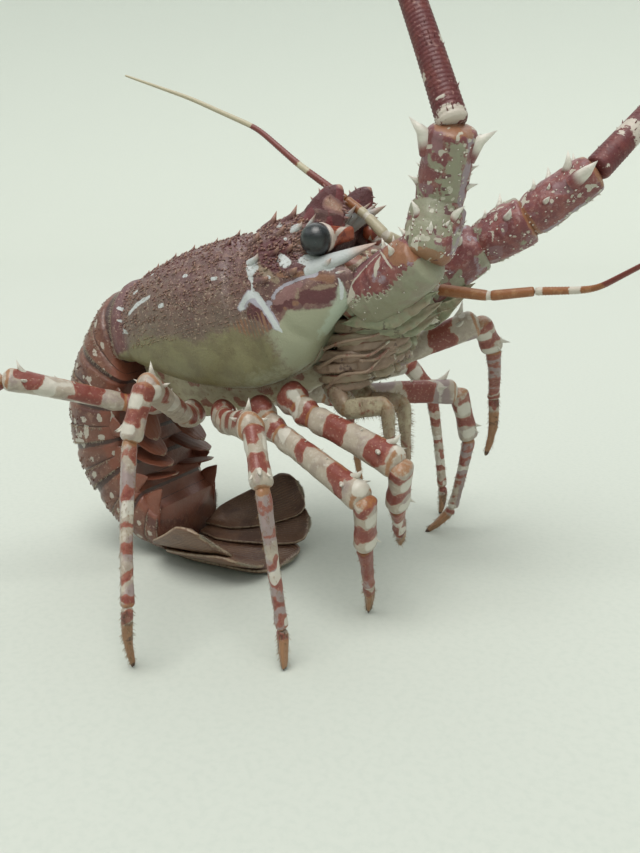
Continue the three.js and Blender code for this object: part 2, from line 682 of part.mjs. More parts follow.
// Spines of a stem piece: [share of its length, place round it in steps of its sides, length]. The upper
// side is at 2 steps, the outer side at 4.5 on the left and 9.5 on the right.
const STEM_SPINES = {
  base: [[0.42, 2, 2.6], [0.6, 3.2, 3.4], [0.62, 1, 3], [0.78, 2.2, 5.5], [0.8, 4.2, 4.4], [0.8, 9.6, 4.4]],
  middle: [[0.3, 1.2, 3], [0.34, 3.2, 3.2], [0.62, 2.2, 4.5], [0.7, 4.4, 5], [0.7, 9.6, 5]],
  upper: [
    [0.2, 1, 3.4], [0.24, 3, 3.6], [0.28, 4.8, 3.6], [0.3, 9.2, 3.6], [0.46, 2, 4.4],
    [0.66, 0.8, 5.4], [0.68, 3.4, 5.6], [0.7, 4.8, 6.8], [0.7, 9.4, 6.8],
  ],
};
const STEM_SPINE_LEAN = 0.42;
function stemPiece(side, name) {
  const rings = stemRings(side, name);
  const stations = STEM[name].map(([share]) => share);
  const spines = STEM_SPINES[name].map(([share, around, length]) => {
    const next = stations.findIndex((station) => station > share);
    const along = next - 1 + (share - stations[next - 1]) / (stations[next] - stations[next - 1]);
    return spine(rings, along, around, length, SPINE_STOUTNESS * length, STEM_SPINE_LEAN);
  });
  return fuse(loft(rings), spines);
}

function whipRings(side) {
  const points = whipPoints(side);
  const stem = antennaJoints(side);
  const start = jointNormal(stem.at(-2), points[0], points[1]);
  const radii = points.map((_, i) => lerp(WHIP_ROOT_RADIUS, WHIP_TIP_RADIUS, (i / WHIP_STEPS) ** WHIP_TAPER));
  points[0].addScaledVector(points[1].clone().sub(points[0]).normalize(), GAP / 2);
  return tubeRings(points, round(...radii), { start });
}

// Antennules: a thin stem of three pieces and its small whip, in the frame of the model.
const ANTENNULES = {
  right: {
    root: [112, 3.2, 2],
    stem: [[78.5, -3, 126], [87.5, -3, 115], [105.5, -2, 113.5], [120.5, -1, 115.5]],
    whip: [[135, -3, 116.5], [141, -6, 117.5], [154, -16, 125], [170, -30, 134.5]],
  },
  left: {
    root: [112, 3.2, 4],
    stem: [[75, 0, 129], [69, -6, 133], [61.5, -5, 139.5], [53, -4, 145.2]],
    whip: [[33, -2, 157.5], [14.5, 0, 171], [-14, -2, 183], [-41.5, -6, 192.5]],
  },
};

const ANTENNULE_STEM_RADII = [2.2, 2.4, 2.3, 2, 1.7];
const ANTENNULE_WHIP_RADII = [1.5, 1.3, 1.1, 0.8, 0.4];

// The chain of an antennule and the plane that parts its whip from its stem.
function antennuleChain(side) {
  const sign = side === 'right' ? -1 : 1;
  const { root, stem, whip } = ANTENNULES[side];
  const chain = [onBody(root[0], sign * root[1], root[2]), ...[...stem, ...whip].map((joint) => vector(...joint))];
  const last = stem.length;
  return { chain, last, parting: jointNormal(chain[last - 1], chain[last], chain[last + 1]) };
}

function antennuleStem(side, grow = 0) {
  const { chain, last, parting } = antennuleChain(side);
  const points = chain.slice(0, last + 1);
  points[last] = points[last].clone().addScaledVector(points[last].clone().sub(points[last - 1]).normalize(), -GAP / 2);
  return loft(tubeRings(points, round(...ANTENNULE_STEM_RADII), { end: parting, grow }));
}

function antennuleWhip(side) {
  const { chain, last, parting } = antennuleChain(side);
  const points = chain.slice(last);
  points[0].addScaledVector(points[1].clone().sub(points[0]).normalize(), GAP / 2);
  return loft(tubeRings(points, round(...ANTENNULE_WHIP_RADII), { sides: 6, start: parting }));
}

// Third maxillipeds: the leg-like pair of mouthparts that folds down under the mouth.
const MAXILLIPED = {
  root: [80, 8, -35],
  right: [[59, -15, 72], [76, -18, 76], [78, -18, 56]],
  left: [[61, 2, 72], [75, 0, 73.5], [77, 0, 51]],
  radii: [4, 3.6, 3.2, 1.6],
};
function maxilliped(side, grow = 0) {
  const sign = side === 'right' ? -1 : 1;
  const [x, y, z] = MAXILLIPED.root;
  const chain = [onBody(x, sign * y, z), ...MAXILLIPED[side].map((p) => vector(...p))];
  return loft(tubeRings(chain, round(...MAXILLIPED.radii), { grow }));
}

// The model
const lobster = new THREE.Group();
const trunk = new THREE.Group();
trunk.position.copy(CARAPACE_REAR);
trunk.rotation.y = -CARAPACE_PITCH;
lobster.add(trunk);
const intoBody = bodyFrame.clone().invert();
const inBodyFrame = (geometry) => geometry.clone().applyMatrix4(intoBody);

function add(group, name, geometry, colour, roughness = 0.55) {
  const material = new THREE.MeshStandardMaterial({ color: colour, roughness, metalness: 0 });
  const mesh = new THREE.Mesh(geometry, material);
  mesh.name = name;
  group.add(mesh);
}

const SIDES = { right: -1, left: 1 };
const sideNames = Object.keys(SIDES);
const legCutters = LEGS.flatMap((leg) => sideNames.map((side) => inBodyFrame(loft(upperLeg(leg, side, GAP)))));
const stemCutters = sideNames.map((side) => inBodyFrame(loft(stemRings(side, 'base', GAP))));
const antennuleCutters = sideNames.map((side) => inBodyFrame(antennuleStem(side, GAP)));
const eyeCutters = sideNames.flatMap((side) => [eyeBall(SIDES[side], EYE_ROOM), eyeStalk(SIDES[side], GAP)]);
const shell = loft(carapaceRings());
const grownShell = loft(carapaceRings(GAP));

const frontCutters = [face(GAP), ...eyeCutters, ...stemCutters, ...legCutters];
const shellExtras = [...carapaceSpines(carapaceRings()), horn(1), horn(-1), ...frontSpines()];
add(trunk, 'carapace', fuse(shell, shellExtras, frontCutters), COLOURS.shell);
add(trunk, 'face', fuse(face(), [], [...stemCutters, ...eyeCutters, ...antennuleCutters]), COLOURS.belly);
const maxillipedCutters = sideNames.map((side) => inBodyFrame(maxilliped(side, GAP)));
const thoraxCutters = [grownShell, ...legCutters, ...maxillipedCutters];
add(trunk, 'thorax', fuse(thorax(), [], thoraxCutters), COLOURS.belly);
const mouthCutters = [grownShell, face(GAP), ...legCutters, ...maxillipedCutters];
add(trunk, 'mouthparts', fuse(mouthBlock(), [], mouthCutters), COLOURS.mouth);

for (const side of sideNames) {
  const sign = SIDES[side];
  add(trunk, `eye_stalk_${side}`, fuse(eyeStalk(sign), [], [eyeBall(sign, GAP)]), COLOURS.stalk);
  add(trunk, `eye_${side}`, eyeBall(sign), COLOURS.eye, 0.2);
  add(lobster, `maxilliped_${side}`, maxilliped(side), COLOURS.mouth);
  for (const piece of Object.keys(STEM)) {
    add(lobster, `antenna_${side}_${piece}`, stemPiece(side, piece), COLOURS.antenna);
  }
  add(lobster, `antenna_${side}_whip`, loft(whipRings(side)), COLOURS.antenna);
  add(lobster, `antennule_${side}_stem`, antennuleStem(side), COLOURS.antennule);
  add(lobster, `antennule_${side}_whip`, antennuleWhip(side), COLOURS.antennule);
  for (const leg of LEGS) {
    add(lobster, `${leg.name}_${side}_upper`, withSpines(upperLeg(leg, side), UPPER_LEG_SPINES, leg.stout), COLOURS.leg);
    add(lobster, `${leg.name}_${side}_lower`, withSpines(lowerLeg(leg, side), LOWER_LEG_SPINES, leg.stout), COLOURS.leg);
  }
  for (const [name, shape] of UROPODS) {
    add(lobster, `${name}_${side}`, blade({ ...shape, b: sign * shape.b, turn: sign * shape.turn }), COLOURS.fan);
  }
}
for (let i = 0; i < 6; i++) {
  add(lobster, `abdomen_${i + 1}`, abdomenSegment(i), COLOURS.abdomen);
}
add(lobster, 'telson', blade(TELSON), COLOURS.fan);

export default lobster;
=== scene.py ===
import math
import bpy
import numpy as np
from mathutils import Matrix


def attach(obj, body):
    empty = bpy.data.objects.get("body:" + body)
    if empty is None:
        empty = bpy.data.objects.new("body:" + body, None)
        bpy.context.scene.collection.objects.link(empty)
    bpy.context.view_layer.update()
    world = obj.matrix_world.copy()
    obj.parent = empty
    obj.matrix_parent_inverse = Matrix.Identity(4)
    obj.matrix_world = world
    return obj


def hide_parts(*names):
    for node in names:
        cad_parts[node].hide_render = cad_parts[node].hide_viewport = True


# Spiny lobster, a still life-size museum model of the whole animal. The tables hold millimetres and the
# meshes metres. +X is towards the head, +Y the animal's left, +Z up, and the floor is at z = 0.
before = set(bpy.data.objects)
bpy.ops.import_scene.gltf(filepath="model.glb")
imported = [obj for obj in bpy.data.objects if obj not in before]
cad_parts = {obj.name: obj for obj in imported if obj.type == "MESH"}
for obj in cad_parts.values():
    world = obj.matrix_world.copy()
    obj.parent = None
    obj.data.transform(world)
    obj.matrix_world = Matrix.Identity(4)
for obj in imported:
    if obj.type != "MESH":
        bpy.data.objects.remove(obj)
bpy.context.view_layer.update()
MM = 0.001
SEED = 7

# The carapace's own frame: x forward from the middle of its rear margin, z up from its widest level.
CARAPACE_PITCH = math.radians(18)
CARAPACE_REAR = np.array([-38.0, 0.0, 88.0])

UP = np.array([0.0, 0.0, 1.0])
LEFT = np.array([0.0, 1.0, 0.0])
FORWARD = np.array([1.0, 0.0, 0.0])
SIDES = {"right": -1, "left": 1}
# Odd numbers that mix a lattice corner and a seed into a random number.
CORNER_MIX = np.array([374761393, 668265263, 2147483629])
SEED_MIX, LAST_MIX = 974634777, 1274126177
LOW_32_BITS, LOW_16_BITS = 0xFFFFFFFF, 0xFFFF
# How a spine narrows: its share of the root's radius at a share of its length.
SPINE_WAIST, SPINE_WAIST_AT = 0.6, 0.45
HAIR_RADIUS = 0.09


def on_body(points):
    """Places given in the carapace's frame, turned by its pitch about Y and moved to its rear margin."""
    points = np.asarray(points, float)
    cos, sin = math.cos(CARAPACE_PITCH), math.sin(CARAPACE_PITCH)
    x, y, z = points[..., 0], points[..., 1], points[..., 2]
    return np.stack([x * cos - z * sin, y, x * sin + z * cos], -1) + CARAPACE_REAR


def turn_to_world(directions):
    """Directions in the carapace's frame, turned by its pitch."""
    return on_body(directions) - CARAPACE_REAR


def mirrored(place, sign):
    """A place given on the left, on the side of the sign."""
    return np.asarray(place, float) * np.array([1, sign, 1])


def unit(vectors):
    """Vectors of length one along the given ones."""
    return vectors / np.maximum(np.linalg.norm(vectors, axis=-1, keepdims=True), 1e-9)


def read_table(rows, at):
    """Columns of a table at given positions: cubic Hermite curves through its rows. A slope is the harmonic
    mean of those on its two sides, or zero at a turning point, so nothing overshoots."""
    rows = np.asarray(rows, float)
    x, y = rows[:, 0], rows[:, 1:]
    step = np.diff(x)[:, None]
    slope = np.diff(y, axis=0) / step
    product = slope[:-1] * slope[1:]
    total = slope[:-1] + slope[1:]
    middle = np.where(product > 0, 2 * product / np.where(total == 0, 1, total), 0)
    tangent = np.concatenate([slope[:1], middle, slope[-1:]])
    at = np.clip(np.asarray(at, float), x[0], x[-1])
    i = np.clip(np.searchsorted(x, at, side="right") - 1, 0, len(x) - 2)
    t = ((at - x[i]) / (x[i + 1] - x[i]))[..., None]
    h = step[i]
    return (y[i] * (1 + 2 * t) * (1 - t) ** 2 + y[i + 1] * t ** 2 * (3 - 2 * t)
            + tangent[i] * h * t * (1 - t) ** 2 + tangent[i + 1] * h * t ** 2 * (t - 1))


def noise(points, size, seed=SEED):
    """Smooth random values from -1 to 1: random numbers on a cubic lattice of that size, blended between
    its corners by 3f^2 - 2f^3."""
    cell = np.asarray(points, float) / size
    base = np.floor(cell).astype(np.int64)
    f = cell - base
    f = f * f * (3 - 2 * f)
    total = 0
    for corner in range(8):
        offset = np.array([corner & 1, corner >> 1 & 1, corner >> 2 & 1])
        key = (base + offset) @ CORNER_MIX + seed * SEED_MIX
        key = (key ^ (key >> 13)) * LAST_MIX & LOW_32_BITS
        value = ((key ^ (key >> 16)) & LOW_16_BITS) / (LOW_16_BITS / 2) - 1
        weight = np.prod(np.where(offset, f, 1 - f), axis=-1)
        total = total + value * weight
    return total


def distance_to(points, chain, radii=None):
    """Shortest distance from each point to a chain of straight stretches, or where radii are given, one for
    each place of the chain, the distance as a multiple of the radius there."""
    chain = np.asarray(chain, float)
    radii = np.ones(len(chain)) if radii is None else np.asarray(radii, float)
    best = np.full(points.shape[:-1], 1e9)
    for i in range(len(chain) - 1):
        along = chain[i + 1] - chain[i]
        share = np.clip(((points - chain[i]) @ along) / max(along @ along, 1e-9), 0, 1)
        radius = radii[i] + (radii[i + 1] - radii[i]) * share
        best = np.minimum(best, np.linalg.norm(points - chain[i] - share[..., None] * along,
                                               axis=-1) / radius)
    return best


def soft(value, low, high):
    """0 below low, 1 above high and 3t^2 - 2t^3 between them; the other way round where high is less."""
    t = np.clip((value - low) / (high - low), 0, 1)
    return t * t * (3 - 2 * t)


def hump(value, at, wide):
    """1 at a value and falling off on both sides of it as exp(-(d / wide)^2)."""
    return np.exp(-((value - at) / wide) ** 2)


def powered(value, exponent):
    """A power that keeps the sign, which makes a box with rounded corners of a circle's cosine and sine."""
    return np.sign(value) * np.abs(value) ** exponent


def leaning(normal, forward, lean):
    """Directions between a surface's normal and forward."""
    return unit(normal * (1 - lean) + forward * lean)


def clipped(marks):
    """The marks, held between 0 and 1."""
    return {name: np.clip(value, 0, 1) for name, value in marks.items()}


def part(points, quads=(), triangles=(), **marks):
    """Part of a mesh: points, faces of four, faces of three, and marks, one number a point for each
    pattern."""
    return {
        "points": np.asarray(points, float).reshape(-1, 3),
        "quads": np.asarray(quads, np.int64).reshape(-1, 4),
        "triangles": np.asarray(triangles, np.int64).reshape(-1, 3),
        "marks": {name: np.asarray(value, float).reshape(-1) for name, value in marks.items()},
    }


def grid_faces(rows, columns):
    """Faces between the neighbouring places of a grid that closes on itself across its columns."""
    i = columns * np.arange(rows - 1)[:, None]
    k = np.arange(columns)[None, :]
    n = (k + 1) % columns
    return np.stack([i + k, i + n, i + columns + n, i + columns + k], -1).reshape(-1, 4)


def turned_out(piece):
    """The same part with its faces turned outwards, by the sign of the volume that they enclose."""
    p = piece["points"] - piece["points"].mean(0)
    q = piece["quads"]
    corners = np.concatenate([q[:, [0, 1, 2]], q[:, [0, 2, 3]], piece["triangles"]])
    a, b, c = p[corners[:, 0]], p[corners[:, 1]], p[corners[:, 2]]
    if np.einsum("ij,ij->", a, np.cross(b, c)) < 0:
        piece["quads"] = q[:, ::-1]
        piece["triangles"] = piece["triangles"][:, ::-1]
    return piece


def closed_tube(rings, **marks):
    """A closed part through rings of equally many points: a grid wrapped round, and a fan at each end about
    the middle of its ring. A mark is a number, or an array that spreads to the rings' shape."""
    rows, columns = rings.shape[:2]
    count = rows * columns
    points = np.concatenate([rings.reshape(-1, 3), rings[:1].mean(1), rings[-1:].mean(1)])
    k = np.arange(columns)
    n = (k + 1) % columns
    last = count - columns
    fans = np.concatenate([np.stack([n, k, np.full(columns, count)], -1),
                           np.stack([last + k, last + n, np.full(columns, count + 1)], -1)])
    ended = {}
    for name, value in marks.items():
        value = np.broadcast_to(value, (rows, columns))
        ended[name] = np.append(value, [value[0].mean(), value[-1].mean()])
    return turned_out(part(points, grid_faces(rows, columns), fans, **ended))


def spikes(roots, directions, lengths, radii, sides=6, bend=None, **marks):
    """Spines as joined cones: for each a ring of its radius sunk below its root, a narrower ring at the
    waist, moved aside by bend, and a tip. The mark tip runs from 0 at the root to 1."""
    roots = np.asarray(roots, float).reshape(-1, 3)
    directions = unit(np.asarray(directions, float).reshape(-1, 3))
    count = len(roots)
    lengths = np.broadcast_to(lengths, count).astype(float)
    radii = np.broadcast_to(radii, count).astype(float)
    aside = np.where(np.abs(directions[:, 2:]) < 0.9, UP, LEFT)
    across = unit(np.cross(directions, aside))
    deep = np.cross(directions, across)
    turn = 2 * np.pi * np.arange(sides) / sides
    ring = across[:, None] * np.cos(turn)[:, None] + deep[:, None] * np.sin(turn)[:, None]
    low = roots[:, None] + ring * radii[:, None, None] - (directions * radii[:, None])[:, None]
    waist = (directions * SPINE_WAIST_AT * lengths[:, None])[:, None]
    middle = roots[:, None] + ring * SPINE_WAIST * radii[:, None, None] + waist
    tips = roots + directions * lengths[:, None]
    if bend is not None:
        middle = middle - 0.12 * (bend * lengths[:, None])[:, None]
        tips = tips + 0.1 * bend * lengths[:, None]
    points = np.concatenate([low, middle, tips[:, None]], 1)
    each = 2 * sides + 1
    k = np.arange(sides)
    n = (k + 1) % sides
    base = (np.arange(count) * each)[:, None, None]
    quads = base + np.stack([k, n, sides + n, sides + k], -1)
    fans = base + np.stack([sides + k, sides + n, np.full(sides, 2 * sides)], -1)
    tip = np.concatenate([np.zeros(sides), np.full(sides, 0.5), [1.0]])
    spread = {name: np.repeat(np.broadcast_to(value, count), each) for name, value in marks.items()}
    return part(points, quads, fans, tip=np.tile(tip, count), **spread)


def make(name, parts, material, slot, *nodes):
    """One mesh of the parts, in metres, with their marks as attributes and nothing below the floor. It
    rides on the body in place of the nodes."""
    starts = np.cumsum([0] + [len(p["points"]) for p in parts])
    points = np.concatenate([p["points"] for p in parts]) * MM
    points[:, 2] = np.maximum(points[:, 2], 0)
    quads = np.concatenate([p["quads"] + s for p, s in zip(parts, starts)])
    triangles = np.concatenate([p["triangles"] + s for p, s in zip(parts, starts)])
    mesh = bpy.data.meshes.new(name)
    mesh.vertices.add(len(points))
    mesh.vertices.foreach_set("co", points.reshape(-1))
    corners = np.concatenate([quads.reshape(-1), triangles.reshape(-1)])
    totals = np.concatenate([np.full(len(quads), 4), np.full(len(triangles), 3)])
    mesh.loops.add(len(corners))
    mesh.loops.foreach_set("vertex_index", corners)
    mesh.polygons.add(len(totals))
    mesh.polygons.foreach_set("loop_start", np.concatenate([[0], np.cumsum(totals)[:-1]]))
    mesh.polygons.foreach_set("loop_total", totals)
    mesh.polygons.foreach_set("use_smooth", np.ones(len(totals), bool))
    for mark in sorted({mark for p in parts for mark in p["marks"]}):
        values = np.concatenate([p["marks"].get(mark, np.zeros(len(p["points"]))) for p in parts])
        mesh.attributes.new(mark, "FLOAT", "POINT").data.foreach_set("value", values)
    mesh.update(calc_edges=True)
    mesh.validate()
    mesh.materials.append(material)
    piece = bpy.data.objects.new(name, mesh)
    bpy.context.scene.collection.objects.link(piece)
    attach(piece, "root")
    if nodes:
        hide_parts(*nodes)


def path(chain, spacing, ease):
    """Even points along a chain of joints, eased round them: the straight stretches, then a moving average
    over twice the given length, with the ends held by mirroring the line about them. Also the lengths along
    it, and those at which the joints lie."""
    chain = np.asarray(chain, float)
    joints = np.append(0, np.cumsum(np.linalg.norm(np.diff(chain, axis=0), axis=1)))
    count = int(joints[-1] / spacing) + 2
    along = np.linspace(0, joints[-1], count)
    line = np.stack([np.interp(along, joints, chain[:, k]) for k in range(3)], 1)
    reach = min(int(ease / spacing), count - 2)
    if reach > 0:
        before = 2 * line[0] - line[reach:0:-1]
        after = 2 * line[-1] - line[-2:-reach - 2:-1]
        held = np.concatenate([before, line, after])
        weights = np.hanning(2 * reach + 3)[1:-1]
        weights = weights / weights.sum()
        line = np.stack([np.convolve(held[:, k], weights, "valid") for k in range(3)], 1)
    return along, line, joints


def tube(line, side, radii, sides, relief=None):
    """Rings round a line: radii holds the half width across and deep at each point, or one for both, and
    the angle starts at the given side. Relief, worked out from the angles, lifts each place along its
    ring's own normal. Gives the rings, their normals and their angles."""
    radii = np.stack([radii, radii], 1) if radii.ndim == 1 else radii
    tangent = unit(np.gradient(line, axis=0))
    side = np.broadcast_to(side, line.shape)
    across = unit(side - np.sum(side * tangent, 1, keepdims=True) * tangent)
    deep = np.cross(tangent, across)
    angle = np.broadcast_to(2 * np.pi * np.arange(sides) / sides, (len(line), sides))
    cos, sin = np.cos(angle)[..., None], np.sin(angle)[..., None]
    wide, tall = radii[:, 0][:, None, None], radii[:, 1][:, None, None]
    normal = unit(cos * across[:, None] / wide + sin * deep[:, None] / tall)
    rings = line[:, None] + cos * wide * across[:, None] + sin * tall * deep[:, None]
    if relief is not None:
        rings = rings + relief(angle, rings)[..., None] * normal
    return rings, normal, angle


def rounded_ends(along, reach):
    """How far the radius of a tube has come out of its round ends: the quarter circle over the reach."""
    share = np.clip(np.minimum(along - along[0], along[-1] - along) / reach, 0, 1)
    return np.sqrt(np.clip(1 - (1 - share) ** 2, 0.02, 1))


def grid_normals(grid):
    """Normals of a grid of places, pointing away from the middle of its rows."""
    forward = np.gradient(grid, axis=0)
    sideways = np.gradient(grid, axis=1)
    normal = unit(np.cross(forward, sideways))
    outward = np.sum(normal * (grid - grid.mean(1, keepdims=True)), -1, keepdims=True)
    return np.where(outward < 0, -normal, normal)


BACK_POWER, SIDE_POWER = 0.94, 0.75


def shell_section(q, w, top, low, floor):
    """Places y to the left and z up of a shell's section, and how far down the side they lie. q is 0 to 1
    over the back from left to right, where y = w cos^0.94(pi q) and z = top sin^0.94(pi q), and a unit more
    down each side, where with h from 0 to a quarter turn y = floor + (w - floor) cos^0.75 h, z = -low
    sin^0.75 h."""
    over = np.pi * np.clip(q, 0, 1)
    down = np.where(q < 0, -q, np.where(q > 1, q - 1, 0))
    sign = np.where(q < 0.5, 1.0, -1.0)
    cos, sin = np.cos(over), np.sin(over)
    h = np.pi / 2 * np.clip(down, 0, 1)
    side = sign * (floor + (w - floor) * np.clip(np.cos(h), 0, 1) ** SIDE_POWER)
    y = np.where(down > 0, side, w * powered(cos, BACK_POWER))
    z = np.where(down > 0, -low * np.sin(h) ** SIDE_POWER, top * np.abs(sin) ** BACK_POWER)
    return y, z, down


random = np.random.default_rng(SEED)


def strewn(rows, columns, count):
    """Random places of a grid, between two rows and two columns."""
    return random.integers(*rows, count), random.integers(*columns, count)


def grown(surface, places, sizes, radii, sides, forward, lean, bent=False, **marks):
    """Spines or hairs from places of a surface's rings, leaning from their normals towards forward. Bent
    ones curve away from the surface."""
    rings, normal = surface
    out = normal[places]
    return spikes(rings[places], leaning(out, forward, lean), sizes, radii, sides, out if bent else None,
                  **marks)


def rim_hairs(line, outward, drift, length, count, radius=HAIR_RADIUS):
    """Fine hairs along a line of places: roots strewn evenly on it, pointing outwards and drifting along
    it."""
    at = np.sort(random.uniform(0, len(line) - 1.001, count))
    i = at.astype(int)
    share = (at - i)[:, None]
    roots = line[i] * (1 - share) + line[i + 1] * share
    directions = outward[i] + drift + 0.25 * random.standard_normal((count, 3))
    return spikes(roots, directions, length * random.uniform(0.6, 1.2, count), radius, 3)


# Materials

SMOOTHLY = {"interpolation_type": "SMOOTHSTEP"}
SUBTRACT, MULTIPLY, ADD = ({"operation": name} for name in ("SUBTRACT", "MULTIPLY", "ADD"))
CHITIN_IOR = 1.5
WET_FILM_ROUGHNESS = 0.25
BUMP_HEIGHT = 0.0004
NOISE_ROUGHNESS = 0.55
EDGE_WOBBLE = 1.6


def colour(code):
    """An sRGB hex value as linear red, green, blue and alpha."""
    parts = [int(code[i:i + 2], 16) / 255 for i in (0, 2, 4)]
    return [p / 12.92 if p <= 0.04045 else ((p + 0.055) / 1.055) ** 2.4 for p in parts] + [1.0]


class Paint:
    """One material: its base colour, the roughness of its surface, how strong the wet film over it is, its
    bumps, and its coats, each of which covers the last where its mask is 1. A bump is a strength, a size in
    millimetres and the detail of its noise, or none for rounded cells. A coat is an effect of this class, a
    shade, a strength and the effect's own settings, or a mark of the mesh, a shade and a strength."""

    def __init__(self, name, base, roughness, film, bumps, coats):
        self.material = bpy.data.materials.new(name)
        self.material.use_nodes = True
        self.tree = self.material.node_tree
        self.place = self.add("ShaderNodeTexCoord", "Object")
        painted = colour(base)
        for effect, shade, strength, *settings in coats:
            mask = getattr(self, effect)(*settings) if settings else effect
            if strength != 1:
                mask = self.add("ShaderNodeMath", 0, MULTIPLY, _0=mask, _1=strength)
            painted = self.add("ShaderNodeMix", 2, {"data_type": "RGBA"}, _0=mask, _6=painted,
                               _7=colour(shade))
        shader = self.tree.nodes["Principled BSDF"]
        finish = {"Base Color": painted, "Roughness": roughness, "IOR": CHITIN_IOR, "Coat Weight": film,
                  "Coat Roughness": WET_FILM_ROUGHNESS}
        height = None
        for strength, size, detail in bumps:
            rise = self.noise(size, detail) if detail else self.texture("Voronoi", "Distance", size)
            rise = self.add("ShaderNodeMath", 0, MULTIPLY, _0=rise, _1=strength)
            height = rise if height is None else self.add("ShaderNodeMath", 0, ADD, _0=height, _1=rise)
        if bumps:
            finish["Normal"] = self.add("ShaderNodeBump", "Normal", Height=height, Strength=1.0,
                                        Distance=BUMP_HEIGHT)
        for name, value in finish.items():
            self.plug(shader.inputs[name], value)

    def plug(self, socket, value):
        """Gives an input its value: a number, a colour, an output of a node, or the name of a mark of the
        mesh."""
        if isinstance(value, str):
            value = self.add("ShaderNodeAttribute", "Fac", {"attribute_name": value})
        if isinstance(value, bpy.types.NodeSocket):
            self.tree.links.new(value, socket)
        else:
            socket.default_value = value

    def add(self, kind, output, settings=None, **links):
        """Adds a node and gives one of its outputs. settings go on the node itself. The links' names are
        its inputs, with _ for a space or a number for a place."""
        added = self.tree.nodes.new(kind)
        for name, value in (settings or {}).items():
            setattr(added, name, value)
        for name, value in links.items():
            plain = name.strip("_").replace("_", " ")
            self.plug(added.inputs[int(plain) if plain.isdigit() else plain], value)
        return added.outputs[output]

    def texture(self, kind, output, size, **links):
        """A texture on Object coordinates with features of a size in millimetres."""
        return self.add("ShaderNodeTex" + kind, output, Vector=self.place, Scale=1 / (size * MM), **links)

    def noise(self, size, detail, roughness=NOISE_ROUGHNESS, warp=0.0):
        """Cloudy noise of a size, from 0 to 1."""
        return self.texture("Noise", "Fac", size, Detail=detail, Roughness=roughness, Distortion=warp)

    def masked(self, value, low, high, within=None):
        """A mask that comes in from low to high of a value, and stays within a mark's own place."""
        mask = self.add("ShaderNodeMapRange", "Result", SMOOTHLY, Value=value, From_Min=low, From_Max=high)
        return mask if within is None else self.add("ShaderNodeMath", 0, MULTIPLY, _0=mask, _1=within)

    def clouds(self, size, low, high, detail=3, roughness=NOISE_ROUGHNESS, warp=0.0, within=None):
        """Clouds of a size, where its noise comes in from low to high."""
        return self.masked(self.noise(size, detail, roughness, warp), low, high, within)

    def pits(self, size, low, high, within=None):
        """Round spots of a size, in the middles of cells."""
        return self.masked(self.texture("Voronoi", "Distance", size), low, high, within)

    def patch(self, name, size=1.2, amount=0.5, low=0.42, high=0.58):
        """A mark of the mesh, with its edge broken up by noise of a size."""
        wobble = self.add("ShaderNodeMath", 0, SUBTRACT, _0=self.noise(size, 5, 0.7), _1=0.5)
        wobble = self.add("ShaderNodeMath", 0, MULTIPLY, _0=wobble, _1=EDGE_WOBBLE * amount)
        return self.masked(self.add("ShaderNodeMath", 0, ADD, _0=name, _1=wobble), low, high)


# Chitin is grown in layers and hardened with lime. It is satin under water, and its finest grain, too fine
# to show, is drawn at 0.6 to 0.8 mm. Granular chitin of the back, hard and satin: maroon, clouded with
# purple and flecked with pale pits round its granules. Low on the sides it is thin, smooth and olive, and
# grey-green behind the mouth.
SHELL = Paint("granular_maroon_chitin", "6A4B48", 0.42, 0.12, [(0.5, 0.6, 3), (0.6, 2.2, 3)], [
    ("clouds", "573A3A", 0.75, 11, 0.4, 0.65, 4, 0.6),
    ("clouds", "84665A", 0.7, 4, 0.48, 0.66, 4, 0.65, 0.4),
    ("patch", "675B4E", 0.8, "veil", 1.8, 0.9, 0.2, 1.2),
    ("patch", "5E363A", 0.7, "wine", 2.6, 0.8, 0.2, 0.9),
    ("patch", "7A7554", 1, "olive", 1.6, 0.9, 0.12, 0.95),
    ("clouds", "665C43", 0.6, 6, 0.42, 0.66, 4, 0.55, 0.0, "olive"),
    ("patch", "92947C", 1, "cream", 1.8, 0.8, 0.2, 0.85),
    ("clouds", "B7A08F", 0.75, 0.9, 0.6, 0.68, 2, 0.5, 0.8, "grain"),
    ("pits", "5A3A34", 0.6, 2.1, 0.26, 0.12, "grain"),
    ("patch", "55282C", 0.92, "dark", 1.3, 0.6),
    ("patch", "73343A", 0.8, "red", 1.6, 0.8),
    ("patch", "84605E", 0.9, "mauve", 1.2, 0.6),
    ("patch", "8E7D69", 0.85, "sand", 1.2, 1.0, 0.25, 0.95),
    ("patch", "855E45", 0.8, "amber", 1.1, 0.9, 0.25, 0.9),
    ("patch", "A3AE9C", 0.85, "mint", 1.6, 0.7, 0.2, 0.9),
    ("patch", "A09DA8", 0.92, "lilac", 0.8, 0.5, 0.3, 0.6),
    ("patch", "B9BEBE", 0.95, "pale", 0.8, 0.5, 0.36, 0.6),
    ("masked", "B28A74", 0.65, "tip", 0.3, 0.95),
]).material
